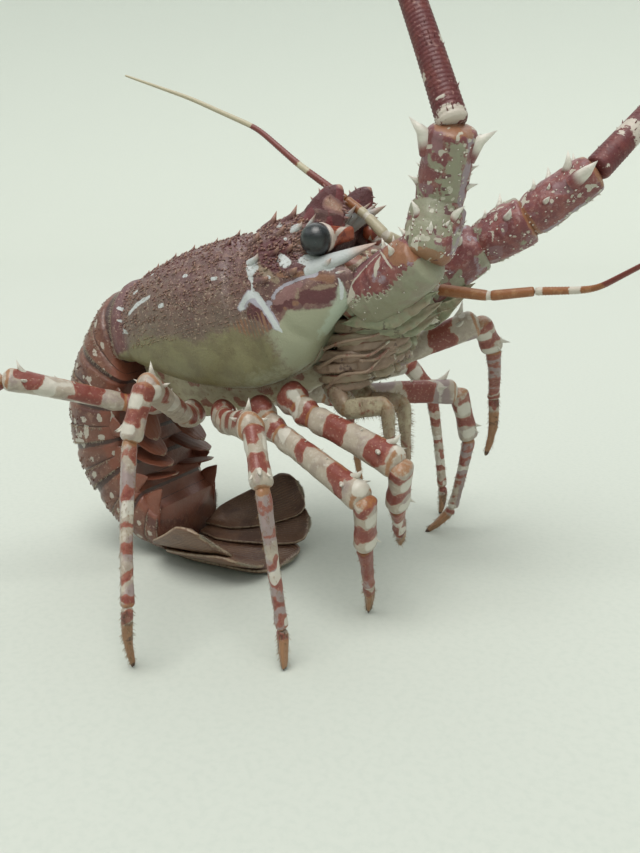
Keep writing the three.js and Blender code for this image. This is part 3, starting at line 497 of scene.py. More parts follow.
# Smooth leg chitin, satin: greyish cream clouded with lavender, blotched in brick red with darker middles,
# orange where two articles meet, and amber on the claws.
LEG = Paint("blotched_leg_chitin", "AB9F90", 0.4, 0.2, [(0.35, 0.7, 3), (0.5, 2.5, 2)], [
    ("clouds", "94867B", 0.8, 5, 0.45, 0.66, 4, 0.6),
    ("clouds", "C0B8AB", 0.6, 1.8, 0.52, 0.68),
    ("patch", "8E7B7C", 0.85, "violet", 2, 0.6, 0.3, 0.75),
    ("patch", "8C4B3B", 0.92, "red", 1.8, 0.8, 0.4, 0.6),
    ("patch", "76332B", 0.8, "red", 1.5, 0.9, 0.62, 0.95),
    ("clouds", "AC8B78", 0.55, 1.0, 0.58, 0.68, 3.0, 0.55, 0.0, "red"),
    ("patch", "946238", 0.85, "amber", 1.3, 0.6, 0.35, 0.7),
    ("patch", "4A2E1E", 1, "dark", 0.8, 0.4),
    ("patch", "C6C1B6", 0.9, "pale", 0.8, 0.4, 0.35, 0.65),
]).material
# Stout antenna articles, knobbly and satin: dark red and violet clouds over grey cream, with pale spots
# and ivory spines.
ANTENNA = Paint("mottled_antenna_chitin", "6E383A", 0.42, 0.18, [(0.4, 0.7, 3), (0.7, 2.4, 3)], [
    ("clouds", "854B45", 0.8, 4, 0.42, 0.62, 4, 0.6),
    ("clouds", "9C7C76", 0.6, 1.5, 0.52, 0.66, 4, 0.65, 0.5),
    ("patch", "7F5C60", 0.8, "mauve", 1.4, 0.8),
    ("patch", "92858F", 0.85, "lilac", 1.3, 0.9, 0.35, 0.75),
    ("patch", "8A8B74", 0.95, "cream", 1.3, 0.9, 0.38, 0.62),
    ("clouds", "867C6C", 0.7, 4, 0.46, 0.62, 5, 0.55, 0.0, "cream"),
    ("patch", "8E6244", 0.85, "amber", 1.4, 0.8),
    ("patch", "B9B5A6", 0.85, "pale", 0.7, 0.6),
    ("patch", "5C3236", 0.9, "dark", 0.8, 0.4),
    ("masked", "DAD7CC", 0.9, "tip", 0.12, 0.4),
]).material
# Ringed whips of dull dark red horn, crossed by a few white bands and flecks. Their rings are in the mesh.
WHIP = Paint("ringed_dark_red_horn", "5E2729", 0.5, 0.08, [(0.5, 0.8, 2)], [
    ("clouds", "70342F", 0.7, 5, 0.45, 0.62),
    ("clouds", "A88078", 0.6, 1.4, 0.6, 0.7),
    ("patch", "C9C0B4", 0.9, "pale", 1.2, 0.7),
]).material
# Thin chitin of the face, mouth and underside, satin: grey cream with brown clouds and brick red blotches.
PALE = Paint("cream_underside_chitin", "A9A086", 0.45, 0.15, [(0.4, 0.8, 3), (0.6, 3, 2)], [
    ("clouds", "8C7C68", 0.8, 5, 0.46, 0.66, 4, 0.6),
    ("clouds", "7C5A4A", 0.6, 2.2, 0.58, 0.7),
    # brown: the face's clouds and the strips' tint, and over the whole mouth block painted shadow behind
    # the strips
    ("patch", "77604D", 1, "brown", 2, 0.6, 0.1, 1.0),
    ("patch", "917A69", 1, "mauve", 1.6, 0.8, 0.1, 1.0),
    ("patch", "958670", 1, "sand", 1.6, 0.8, 0.1, 1.0),
    ("patch", "888E74", 1, "olive", 1.6, 0.8, 0.1, 1.0),
    ("patch", "7C4438", 0.85, "red", 1.5, 0.8, 0.4, 0.66),
    ("patch", "8A6540", 0.85, "amber", 1.4, 0.8, 0.3, 0.8),
    # dark: painted shade, mottled under the mouth's strips, at the mouth block's rear and high on the
    # thorax
    ("patch", "48302A", 0.9, "dark", 0.9, 0.5),
    ("patch", "C6C2B2", 0.9, "pale", 0.8, 0.4),
]).material
# Tail rings of satin red-brown chitin, clouded, with off-white spots and hairy rims.
TAIL = Paint("spotted_tail_chitin", "6E4638", 0.38, 0.2, [(0.35, 0.7, 3), (0.6, 2.6, 3)], [
    ("clouds", "54322C", 0.9, 12, 0.42, 0.62, 4, 0.6),
    ("clouds", "85604E", 0.6, 3, 0.5, 0.66, 4, 0.6),
    ("clouds", "A48C7A", 0.6, 1.0, 0.62, 0.7, 2),
    ("patch", "7C4634", 0.8, "red", 4, 0.6, 0.3, 0.8),
    ("patch", "3E2622", 0.9, "dark", 1.3, 0.5),
    ("patch", "B4AEA2", 0.85, "pale", 1.0, 0.8, 0.42, 0.62),
]).material
# Tail fan and swimmerets, thin and barely limed, so leathery: satin brown with darker rays and a paler
# rim.
FAN_SKIN = Paint("leathery_fan_chitin", "70523F", 0.45, 0.15, [(0.4, 0.8, 3)], [
    ("clouds", "573D32", 0.8, 9, 0.45, 0.65, 4),
    ("clouds", "92785F", 0.5, 1.4, 0.6, 0.7),
    ("ray", "4E3429", 0.6),
    ("patch", "7A4432", 0.8, "red", 3, 0.5),
    ("patch", "A4927C", 0.7, "pale", 1.2, 0.7),
]).material
# Facetted cornea: near black with a slate sheen, wet and glossy, with a pale ring where it meets the
# stalk. Its facets, far finer in life, are drawn at 0.35 mm to show.
CORNEA = Paint("slate_black_cornea", "15191B", 0.26, 0.4, [(0.12, 0.35, None)], [
    ("clouds", "242D30", 0.8, 6, 0.45, 0.7, 2),
    ("pale", "B9ADA8", 1),
]).material
# Eye stalk: glossy orange-red skin with white streaks.
STALK = Paint("orange_eye_stalk_skin", "9A4E34", 0.35, 0.3, [(0.5, 0.8, 3)], [
    ("clouds", "6E2C26", 0.9, 2.4, 0.5, 0.62, 3, 0.6, 0.6),
    ("patch", "C6BCB2", 0.9, "pale", 0.9, 0.6),
]).material
# Antennules: thin ringed rods of satin horn, orange and dark red with cream stretches.
ANTENNULE = Paint("ringed_orange_horn", "8C5833", 0.42, 0.15, [(0.4, 0.6, 2)], [
    ("clouds", "A47852", 0.6, 2.5, 0.5, 0.66),
    ("patch", "6E2C2A", 0.9, "red"),
    ("patch", "B4AC92", 0.95, "cream"),
    ("patch", "C8C2B6", 0.9, "pale", 0.8, 0.4),
]).material
# Hairs of thin chitin, dull, and paler at their tips. They are drawn thicker than real ones, to show.
BRISTLE, PALE_BRISTLE = (Paint(name, base, 0.6, 0.0, [], [("masked", tip, 1, "tip", 0.2, 0.9)]).material
                         for name, base, tip in (("golden_bristle", "7E6244", "A68E6C"),
                                                 ("pale_bristle", "8E7E6A", "B8AE9C")))

# Carapace

# Rows: station along it, half width, height above and depth below the widest level.
CARAPACE_STATIONS = [
    [0, 25, 24.5, 5], [4, 26.5, 26.2, 6], [7, 27.5, 25.4, 7.5], [20, 31, 28, 15], [36, 33.8, 29, 22.5],
    [50, 34.2, 28.6, 27], [60, 33.4, 27.8, 29], [64, 31.9, 26, 29], [68, 31.6, 26, 28.6],
    [72, 32.6, 27.8, 28],
    [82, 30.5, 27.4, 25], [92, 28, 26.4, 20.5], [100, 25.6, 23.8, 17], [106, 23, 20.5, 13],
]
CARAPACE_END = 106
FRONT_FROM = 82
CARAPACE_FLOOR = 0.62
# How far the front margin reaches: from the middle of the back down to the widest level, and on down the
# side.
FRONT_REACH = [[0, 105], [2 / 12, 104.5], [3 / 12, 99.5], [4 / 12, 96.5], [5 / 12, 103], [6 / 12, 108]]
LOWER_REACH = [[0, 108], [0.25, 107], [0.5, 103], [0.75, 97], [1, 92]]
FLOOR_COLUMNS = 10


def carapace_surface(x, q):
    """Places in the carapace's frame, at stations x and places q round its section. Past FRONT_FROM, x is
    stretched to the front margin's own reach."""
    w, top, low = np.moveaxis(read_table(CARAPACE_STATIONS, x), -1, 0)
    y, z, down = shell_section(q, w, top, low, CARAPACE_FLOOR * w)
    up_reach = read_table(FRONT_REACH, np.abs(np.clip(q, 0, 1) - 0.5))[..., 0]
    low_reach = read_table(LOWER_REACH, down)[..., 0]
    reach = np.where(down > 0, low_reach, up_reach)
    share = np.clip((x - FRONT_FROM) / (CARAPACE_END - FRONT_FROM), 0, 1)
    return np.stack([x + share * (reach - CARAPACE_END), y, z], -1)


def both_sides(chain):
    """A chain of [station, place round] on the right side as chains of places, on the right and on the
    left."""
    chain = np.asarray(chain, float)
    return [carapace_surface(chain[:, 0], chain[:, 1]), carapace_surface(chain[:, 0], 1 - chain[:, 1])]


def stroke(points, chain, ragged):
    """A stroke on both sides of the carapace, of [station, place round, radius] rows: 1 on it, and 0 from
    1.5 times its radius out, where ragged, a noise, moves its edge in and out."""
    radii = [row[2] for row in chain]
    near = np.minimum(*[distance_to(points, side, radii) for side in both_sides(chain)])
    return np.clip(1.5 - near + ragged, 0, 1)


# Grooves: from the middle of the back down each side, forward under the eye, and down behind the cheek.
GROOVES = [
    ([[66, 0.5], [67, 0.62], [70, 0.75], [74, 0.86], [74, 0.95], [77, 1.02]], 2.6, 0.9),
    ([[77, 1.02], [81, 0.975], [88, 0.97], [96, 0.96]], 1.8, 0.6),
    ([[77, 1.02], [80, 1.1], [82, 1.25], [86, 1.45]], 2.2, 0.6),
    ([[10, 0.5], [30, 0.5], [56, 0.5]], 1.6, 0.35),
]
# The animal's own marks, on its right side and mirrored on its left: strokes of station, place round,
# radius.
SHELL_MARKS = {
    "pale": [
        [[73.8, 0.83, 1.0], [74.2, 0.86, 2.3], [73.6, 0.9, 1.3], [73.6, 0.93, 0.4], [73.4, 0.955, 0.8]],
        [[66.6, 1.004, 0.9], [69.3, 0.982, 0.9], [72, 0.966, 1.3], [74.6, 0.98, 1.1], [76.2, 1.03, 0.75],
         [77.3, 1.1, 0.75], [78.2, 1.18, 0.8], [79.5, 1.24, 0.3]],
        [[87.3, 0.858, 1.3], [87.8, 0.888, 1.8]], [[90.2, 0.705, 1.4], [90.6, 0.722, 1.6]],
        [[14.5, 0.868, 0.7], [20, 0.845, 1.1], [27, 0.838, 0.7]],
        [[95.8, 0.893, 2.0], [99, 0.915, 2.8], [103, 0.93, 2.6]],
        [[101.6, 1.02, 0.4], [101.9, 1.1, 0.8], [101.2, 1.22, 0.6]],
        [[45, 0.8, 0.7], [46, 0.803, 0.7]], [[33, 0.9, 0.6], [34.5, 0.9, 0.7]],
        [[58, 0.86, 0.7], [59.4, 0.862, 0.6]], [[81.5, 0.66, 0.9], [82, 0.665, 0.9]],
        [[9, 0.93, 0.8], [12, 0.95, 0.6]], [[24, 0.7, 0.6], [25, 0.7, 0.6]],
        [[5.5, 0.8, 0.7], [8, 0.81, 0.7]],
        [[6, 0.87, 0.6], [8.5, 0.88, 0.7]], [[16, 0.77, 0.5], [18, 0.765, 0.6]],
        [[88, 0.77, 0.6], [88.6, 0.775, 0.6]], [[80, 0.925, 0.5], [80.5, 0.93, 0.5]],
    ],
    "dark": [
        [[82, 0.85, 4], [87, 0.875, 5], [93, 0.9, 3.6]],
        [[69.4, 1.04, 1.6], [72.6, 1.03, 2.6], [75, 1.1, 1.8]],
        [[78, 0.8, 3.2], [84, 0.79, 3.6], [90, 0.82, 3.2]], [[81.5, 1.05, 2], [86, 1.05, 2.4]],
        [[89.5, 1.05, 2.6], [94, 1.07, 3.2], [99, 1.1, 2.8]], [[97, 1.0, 1.5], [98, 1.02, 1.5]],
    ],
    "lilac": [
        [[66.6, 1.004, 1.2], [72, 0.966, 1.8], [76.2, 1.03, 1.15], [78.2, 1.18, 1.15]],
        [[77.3, 1.03, 0.6], [79.5, 1.005, 0.6], [81.6, 0.987, 0.5], [84.8, 0.974, 0.6], [92.2, 0.966, 0.6],
         [96, 0.961, 1.2]],
    ],
    "mint": [[[101.8, 1.06, 1.0], [101.6, 1.2, 2.2], [100, 1.4, 3.4], [97, 1.6, 3.6]]],
    "mauve": [[[81.5, 1.02, 1.8], [86, 1.0, 2.6], [90, 0.99, 1.6]]],
    "sand": [
        [[92.5, 1.01, 0.6], [96, 1.03, 1.0], [100, 1.05, 0.5]],
        [[76.8, 0.87, 0.8], [79.5, 0.91, 1.4], [83, 0.95, 1.0]], [[87.8, 1.035, 0.8], [88.8, 1.0, 0.6]],
    ],
    "amber": [
        [[86.4, 1.07, 1.0], [87, 1.075, 1.0]], [[83, 1.08, 0.8], [83.3, 1.082, 0.8]],
        [[94.5, 0.972, 1.3], [99.5, 1.0, 1.7]], [[84, 0.93, 0.8], [89, 0.95, 1.0], [94, 0.945, 0.7]],
        [[90.8, 0.68, 1.2], [91.6, 0.69, 1.2]], [[98, 0.8, 1.5], [103, 0.86, 1.5]],
    ],
}
# Where the smooth olive side begins: station, place round the shell.
OLIVE_EDGE = [[0, 1.2], [8, 1.02], [17, 0.96], [35, 1.02], [49, 1.06], [60, 1.08], [68, 1.15], [78, 1.16],
              [83, 1.1], [88, 1.12], [98, 1.26], [106, 1.3]]
COMB_PERIOD = 1.55


def carapace_marks(points, q, x):
    """The patterns of the shell: its strokes, and soft steps of q past the olive edge, broken up by noise.
    The comb of orange stripes above that edge is a sine of x."""
    ragged = 0.35 * noise(points, 3.4) + 0.25 * noise(points, 1.5)
    marks = {name: np.max([stroke(points, chain, ragged) for chain in strokes], axis=0)
             for name, strokes in SHELL_MARKS.items()}
    low = np.abs(q - 0.5) + 0.5
    past = low - read_table(OLIVE_EDGE, x)[..., 0] + 0.05 * noise(points, 9) + 0.03 * noise(points, 3)
    forward = soft(x, 70, 80)
    marks["olive"] = soft(past, -0.08, 0.12) * (1 - forward)
    shaded = 0.62 * soft(low, 1.3, 1.7) * soft(x, 30, 70)
    marks["cream"] = np.maximum(np.maximum(soft(past, -0.01, 0.05) * forward, shaded),
                                soft(low, 1.93, 1.98))
    marks["grain"] = soft(past, 0.1, -0.1)
    comb = soft(np.sin(2 * np.pi * x / COMB_PERIOD), -0.3, 0.5) * soft(x, 58, 63) * soft(x, 78, 75)
    marks["amber"] = np.maximum(marks["amber"], 0.9 * comb * soft(low, 1.02, 1.06) * soft(past, 0.07, 0.02))
    marks["veil"] = soft(past, -0.42, 0.02) * (1 - 0.7 * forward) * soft(x, 2, 14)
    marks["wine"] = np.maximum(soft(low, 0.8, 0.6), soft(x, 16, 4)) + 0.4 * noise(points, 8)
    marks["dark"] = marks["dark"] * (1 - marks["amber"])
    return marks


def carapace_relief(points, q):
    """Height over the smooth shell: grooves as dips of exp(-(d / width)^2), low swellings on the back, and
    a raised rim along the rear."""
    lift = (0.35 * noise(points, 7) + 0.2 * noise(points, 3)) * soft(np.abs(q - 0.5), 0.75, 0.5)
    dips = [depth * hump(np.minimum(*[distance_to(points, side) for side in both_sides(chain)]), 0, width)
            for chain, width, depth in GROOVES]
    rim = hump(points[..., 0], 3.5, 1.8) - hump(points[..., 0], 7.5, 1.6)
    return lift - np.max(dips, axis=0) + 0.5 * rim


STATIONS = np.linspace(0, CARAPACE_END, 196)
AROUND = np.concatenate([np.linspace(-1, 0, 54)[:-1], np.linspace(0, 1, 170), np.linspace(1, 2, 54)[1:]])
grid_x, grid_q = np.meshgrid(STATIONS, AROUND, indexing="ij")
shell_base = carapace_surface(grid_x, grid_q)
shell_normals = grid_normals(shell_base)
shell_lift = carapace_relief(shell_base, grid_q)
shell_grid = shell_base + shell_lift[..., None] * shell_normals
shell_marks = carapace_marks(shell_base, grid_q, grid_x)


def place_on_shell(x, q):
    """Places, outward normals and marks of the finished shell for stations and places round it, by the
    nearest point of its grid."""
    last = len(STATIONS) - 1
    i = np.clip(np.rint(np.asarray(x) / CARAPACE_END * last).astype(int), 0, last)
    k = np.abs(AROUND[None, :] - np.asarray(q)[:, None]).argmin(1)
    return shell_grid[i, k], shell_normals[i, k], {name: value[i, k] for name, value in shell_marks.items()}


# The solids' own seeded numbers from 0 to 1: each is the last one times the factor, plus the step, in 32
# bits.
RANDOM_FACTOR, RANDOM_STEP, RANDOM_RANGE = 1664525, 1013904223, 4294967296


def random_from(seed):
    """The solids' own seeded numbers, so that the strong spines stand in the same places."""
    state = seed
    while True:
        state = (state * RANDOM_FACTOR + RANDOM_STEP) % RANDOM_RANGE
        yield state / RANDOM_RANGE


# Rows of forward spines: dome step from the left side, first and last station, count, length.
SPINE_ROWS = [
    [4.6, 76, 98, 4, 5.5], [3.2, 74, 92, 3, 4.5], [2, 74, 90, 3, 4.5], [0.8, 78, 100, 3, 5],
    [5.2, 8, 58, 6, 3], [4, 10, 60, 6, 2.8], [2.8, 12, 58, 6, 2.6],
]
DOME_STEPS = 12


def strong_shell_spines():
    """The rows of strong forward spines, where the solids have them, mirrored, each row moved along and
    varied in length by the solids' own draws."""
    draw = random_from(SEED)
    stations, places, lengths = [], [], []
    for step, start, end, count, length in SPINE_ROWS:
        for i in range(count):
            x = start + (end - start) * i / max(count - 1, 1) + 2 * (next(draw) - 0.5)
            size = length * (0.85 + 0.35 * next(draw))
            for around in (step, DOME_STEPS - step):
                stations.append(x)
                places.append(around / DOME_STEPS)
                lengths.append(size)
    roots, normals, marks = place_on_shell(stations, np.array(places))
    lengths = np.array(lengths)
    directions = turn_to_world(leaning(normals, FORWARD, 0.62))
    return spikes(on_body(roots), directions, lengths, 0.34 * lengths, 9, turn_to_world(normals), **marks)


def shell_granules(count, low, high, x_from, x_to, length):
    """Small forward spines strewn over the shell between two places round it, smaller on its pale marks."""
    x = random.uniform(x_from, x_to, count)
    roots, normals, marks = place_on_shell(x, random.uniform(low, high, count))
    light = np.maximum(marks["pale"], marks["lilac"])
    sizes = length * random.uniform(0.5, 1.3, count) * (1 - 0.75 * light)
    directions = leaning(normals, FORWARD, 0.6) + 0.15 * random.standard_normal((count, 3))
    return spikes(on_body(roots), turn_to_world(directions), sizes, 0.4 * sizes + 0.1, 5, **marks)


HORN_BASE = np.array([97, 12, 20.5])
HORN_TIP = np.array([107.5, 12.5, 30])
# Teeth along the edges of a horn: share of its length, column of its rings, length.
HORN_TEETH = np.array([
    [0.5, 0, 1.9], [0.58, 1, 1.6], [0.66, 47, 1.8], [0.74, 0, 1.5], [0.82, 1, 1.6], [0.9, 47, 1.3],
    [0.55, 24, 1.5],
    [0.68, 23, 1.6], [0.8, 25, 1.3], [0.62, 12, 1.0], [0.74, 36, 1.0], [0.86, 30, 0.9],
])


def horn(sign):
    """A broad flattened horn over the eye: rings from its root to its tip, 2 to 1, with the middle bent up,
    a pale patch on its outer side, and a row of teeth along its front and its back edge."""
    base, tip = mirrored(HORN_BASE, sign), mirrored(HORN_TIP, sign)
    middle = base + 0.55 * (tip - base) + np.array([-0.6, 0, 0.8])
    chain = on_body([base - 0.35 * (tip - base), base, middle, tip])
    along, line, joints = path(chain, 0.35, 3)
    radii = read_table([[joints[0], 9, 4], [joints[1], 8.6, 3.6], [joints[2], 5.6, 2.6],
                        [joints[3] - 1, 2.0, 1.2], [joints[3], 0.4, 0.3]], along)
    side = np.cross(LEFT, chain[-1] - chain[0])
    rings, normal, angle = tube(line, side, radii, 48,
                                lambda a, p: 0.3 * noise(p, 2.2) + 0.12 * noise(p, 0.9))
    share = (along / along[-1])[:, None]
    patch = soft(0.8 * sign * np.sin(angle) + 0.6 * np.cos(angle), 0.45, 0.85) * hump(share, 0.66, 0.13)
    body = closed_tube(rings, dark=0.9 * soft(share + 0.2 * noise(rings, 3), 0.3, 0.5), pale=0.45 * patch,
                       mauve=np.clip(1.6 * patch, 0, 1), red=soft(noise(rings, 4, 6), -0.1, 0.5),
                       tip=np.maximum(soft(share, 0.92, 1), patch))
    i = (HORN_TEETH[:, 0] * (len(along) - 1)).astype(int)
    columns, sizes = HORN_TEETH[:, 1], HORN_TEETH[:, 2]
    teeth = grown((rings, normal), (i, columns.astype(int)), sizes, 0.36 * sizes, 8, unit(tip - base),
                  0.35, True, mauve=0.7)
    return [body, teeth]


def long_spine(root, tip, radius, ridge=0.0, pale=0.0):
    """A long smooth spine from the middle of its root to its tip: its radius falls as (1 - s)^0.8."""
    start = root - 0.3 * (tip - root)
    along, line, _ = path([start, tip], 0.4, 0)
    share = along / along[-1]
    size = radius * 1.15 * np.clip(1 - share, 0.01, 1) ** 0.8
    rings, _, _ = tube(line, UP, size, 20, lambda a, p: ridge * np.cos(3 * a))
    return closed_tube(rings, tip=soft(share, 0.3, 1)[:, None], pale=pale)


# The caps of the shell: how far in each of their rings is drawn to the middle, and how deep it lies.
FRONT_CAP = [(0.05, 0.8), (0.2, 4), (0.6, 8)]
REAR_CAP = [(0.6, 4), (0.2, 3), (0.05, 0.8)]


def carapace():
    """The shell as one closed body: its outside, a floor between its lower edges, and a cap at each end
    that dips in."""
    floor_share = np.linspace(0, 1, FLOOR_COLUMNS + 2)[1:-1]
    last, first = shell_grid[:, -1:], shell_grid[:, :1]
    loop = np.concatenate([shell_grid, last + (first - last) * floor_share[None, :, None]], 1)
    middle = loop.mean(1)
    front = [loop[-1] + (middle[-1] - loop[-1]) * s - FORWARD * dip for s, dip in FRONT_CAP]
    rear = [loop[0] + (middle[0] - loop[0]) * s + FORWARD * dip for s, dip in REAR_CAP]
    rings = np.concatenate([np.array(rear), loop, np.array(front)])
    marks = {name: np.pad(value, ((len(rear), len(front)), (0, FLOOR_COLUMNS)), "edge")
             for name, value in shell_marks.items()}
    return closed_tube(on_body(rings), **marks)


CHEEK_ROOT, CHEEK_TIP = [98, 22.8, 5.2], [118, 21, 6.8]
BEAK_ROOT, BEAK_TIP = [103, 0, 18.2], [116.5, 0, 20.2]
# Lesser spines of the front margin: root and tip on the left, radius.
MARGIN_SPINES = [
    ([100, 24, 1], [106, 24.2, 1.2], 1.6), ([100.5, 23.6, -4], [105.5, 23.5, -4.6], 1.4),
    ([104, 3.4, 19.4], [112.5, 3.2, 22.5], 1.4), ([102, 6.5, 19], [109, 7, 23], 1.5),
    ([93, 17.5, 19], [98.5, 19, 23], 1.5),
]
# Fields of granules: how many, between which places round the shell and which stations, and their length.
GRANULE_FIELDS = [(2300, 0.05, 0.95, 6, 101, 0.95), (380, 0.92, 1.06, 12, 80, 0.6),
                  (380, -0.06, 0.08, 12, 80, 0.6),
                  (520, 0.1, 0.9, 70, 100, 1.5)]

shell_parts = [carapace(), strong_shell_spines()] + horn(1) + horn(-1)
shell_parts.append(long_spine(*on_body([BEAK_ROOT, BEAK_TIP]), 2.8, pale=0.8))
for sign in SIDES.values():
    cheek = on_body([mirrored(CHEEK_ROOT, sign), mirrored(CHEEK_TIP, sign)])
    shell_parts.append(long_spine(*cheek, 3.5, 0.15, 1.0))
    for root, tip, radius in MARGIN_SPINES:
        shell_parts.append(long_spine(*on_body([mirrored(root, sign), mirrored(tip, sign)]), radius,
                                      pale=0.75))
make("carapace_shell", shell_parts, SHELL, "shell", "carapace")
make("carapace_granules", [shell_granules(*field) for field in GRANULE_FIELDS], SHELL, "shell")

# Hairs along the lower edges of the shell and round its rear, and soft ones strewn over it.
EDGE_HAIRS, REAR_HAIRS, SETAE = 520, 620, 2600
rim_hair = []
for column in (0, len(AROUND) - 1):
    edge = on_body(shell_grid[30:170, column])
    rim_hair.append(rim_hairs(edge, np.broadcast_to(-UP, edge.shape), [0.2, 0, 0], 1.8, EDGE_HAIRS))
rear_edge = on_body(shell_grid[1, 20:-20])
backward = np.broadcast_to([-1.0, 0, 0.15], rear_edge.shape)
rim_hair.append(rim_hairs(rear_edge, backward, [0, 0, 0], 1.6, REAR_HAIRS))
roots, normals, _ = place_on_shell(random.uniform(8, 98, SETAE), random.uniform(0.04, 0.96, SETAE))
drift = turn_to_world(leaning(normals, FORWARD, 0.7) + 0.3 * random.standard_normal((SETAE, 3)))
rim_hair.append(spikes(on_body(roots), drift, random.uniform(0.8, 1.7, SETAE), 0.11, 3,
                       turn_to_world(normals)))
make("carapace_rim_hairs", rim_hair, PALE_BRISTLE, "shell")

# Eyes

EYE_RADIUS = 5.6
EYE_CENTRE = np.array([98.2, 23, 14.3])
STALK_ROOT = np.array([104, 9, 14.3])


def eye_ball(sign):
    """A ball of rings about the stalk's line, a little longer than wide, with a pale rim where the stalk
    ends."""
    centre, root = on_body([mirrored(EYE_CENTRE, sign), mirrored(STALK_ROOT, sign)])
    axis = unit(centre - root)
    tilt = np.linspace(0.02, math.pi - 0.02, 64)
    line = centre + axis * (EYE_RADIUS * np.cos(tilt))[:, None]
    across = unit(np.cross(axis, UP))
    deep = np.cross(axis, across)
    turn = 2 * np.pi * np.arange(72) / 72
    arm = across * np.cos(turn)[:, None] + deep * np.sin(turn)[:, None]
    rings = line[:, None] + arm * (EYE_RADIUS * np.sin(tilt))[:, None, None]
    rim = hump(tilt, 1.95, 0.07) + soft(tilt, 2.1, 2.3)
    return closed_tube(rings, pale=np.clip(rim, 0, 1)[:, None])


def eye_stalk(sign):
    """A short stalk that widens into a cup under the ball."""
    centre, root = on_body([mirrored(EYE_CENTRE, sign), mirrored(STALK_ROOT, sign)])
    along, line, _ = path([root, centre - 0.1 * (centre - root)], 0.3, 0)
    share = along / along[-1]
    radii = read_table([[0, 2.8, 2.8], [0.25, 3.1, 3.0], [0.6, 3.6, 3.4], [0.8, 4.9, 4.9], [0.9, 5.2, 5.2],
                        [1, 4.2, 4.2]], share)
    rings, _, angle = tube(line, UP, radii, 40, lambda a, p: 0.18 * np.sin(5 * a) + 0.2 * noise(p, 1.6))
    rim = soft(share, 0.78, 0.86)[:, None] + soft(np.cos(2 * angle + 4 * share[:, None]), 0.75, 0.95)
    return closed_tube(rings, pale=np.clip(rim, 0, 1))


for side, sign in SIDES.items():
    make(f"eye_ball_{side}", [eye_ball(sign)], CORNEA, "eye", f"eye_{side}")
    make(f"eye_stalk_skin_{side}", [eye_stalk(sign)], STALK, "stalk", f"eye_stalk_{side}")

# Face, mouth and underside

# Rows of the face: station along the carapace, half width, top, and depth below its level. Rows of the
# mouth: station, half width, top and bottom. Rows of the thorax: station, half width above, half width at
# its lowest, and depth.
FACE_ROWS = [[97, 19, 8, 17], [104, 19.5, 9, 19], [110, 18, 7, 21.5], [116, 14, 1, 23.5], [121, 9, -8, 24]]
MOUTH_ROWS = [[78, 9, -27, -37], [84, 12, -22, -39], [92, 13.5, -17, -38.5], [100, 13, -17, -36],
              [107, 10, -18, -32], [112, 6, -20, -28]]
THORAX_ROWS = [[4, 15, 11, 30], [12, 18, 13, 34], [30, 18.5, 13, 36], [50, 18, 11.5, 37.5],
               [66, 16, 9, 36.5],
               [76, 12, 6, 34]]
THORAX_TOP = -4
LEG_SPACING = 14


def lofted(rows, columns, section, step, relief, marks):
    """A closed body through sections: the table's rows are read smoothly along x, and each gives a section
    of [y, z] places as the angle goes round."""
    x = np.arange(rows[0][0], rows[-1][0] + step / 2, step)
    angle = 2 * np.pi * np.arange(columns) / columns
    y, z = section(read_table(rows, x), angle)
    grid = np.stack([np.broadcast_to(x[:, None], y.shape), y, z], -1)
    grid = grid + relief(grid)[..., None] * grid_normals(grid)
    return closed_tube(on_body(grid), **marks(grid))


def face_section(values, angle):
    """A rounded box: y = w cos^0.7, and z goes from the top to the depth below as sin^0.8."""
    w, top, depth = (values[:, k][:, None] for k in range(3))
    cos, sin = np.cos(angle)[None], np.sin(angle)[None]
    return w * powered(cos, 0.7), (top - depth) / 2 + (top + depth) / 2 * powered(sin, 0.8)


def mouth_section(values, angle):
    """A rounded box: y = w cos^0.8, and z goes from the top to the bottom as the sine."""
    w, top, bottom = (values[:, k][:, None] for k in range(3))
    cos, sin = np.cos(angle)[None], np.sin(angle)[None]
    return w * powered(cos, 0.8), (top + bottom) / 2 + (top - bottom) / 2 * sin


def thorax_section(values, angle):
    """A keel under a flat top: y = b cos^0.6, where b goes from the width above to the lowest one as sin^2,
    and z falls to the depth as sin^0.7."""
    wide, narrow, depth = (values[:, k][:, None] for k in range(3))
    cos, below = np.cos(angle)[None], np.minimum(np.sin(angle), 0)[None]
    z = THORAX_TOP + (depth + THORAX_TOP) * powered(below, 0.7)
    return (wide + (narrow - wide) * below ** 2) * powered(cos, 0.6), z


def face_relief(places):
    """Height over the smooth face: a furrow down its middle and one across, a ridge on each side of the
    middle, and folds that run down and back."""
    middle = np.abs(places[..., 1])
    folds = np.cos(0.9 * places[..., 2] + 0.5 * places[..., 0] + 1.5 * noise(places, 6))
    return (0.4 * noise(places, 4) - 0.9 * hump(middle, 0, 1.2) + 0.7 * hump(middle, 3.2, 1.1)
            - 0.6 * hump(places[..., 0], 113, 1) + 0.35 * folds * soft(middle, 3, 7))


def mouth_relief(places):
    """Height over the smooth mouth, which is drawn in a little: noise, and a furrow down its middle."""
    return 0.5 * noise(places, 3) - 1.6 * hump(places[..., 1], 0, 1) - 0.6


def thorax_relief(places):
    """Height over the smooth keel: a swelling for each pair of legs, as a cosine along it, and noise."""
    return 0.5 * np.cos(2 * np.pi * (places[..., 0] - 5) / LEG_SPACING) + 0.35 * noise(places, 4)


def face_marks(grid):
    """Patterns of the face: red, brown and amber clouds above, grey green below, and sand and pale ones."""
    high = soft(grid[..., 2], -14, -6)
    low = soft(noise(grid, 4, 8) + 0.5 * noise(grid, 1.8, 9), 0.1, 0.5)
    return {
        "red": np.maximum(high * soft(noise(grid, 5), -0.1, 0.3), 0.7 * low),
        "olive": soft(grid[..., 2], -9, -15),
        "brown": np.maximum(high, 0.7) * soft(noise(grid, 3, 4), 0.1, 0.4),
        "amber": soft(noise(grid, 6, 5), 0.35, 0.6) * high,
        "sand": soft(noise(grid, 4, 15), 0.1, 0.5),
        "pale": 0.8 * soft(noise(grid, 1.8, 14), 0.6, 0.75),
    }


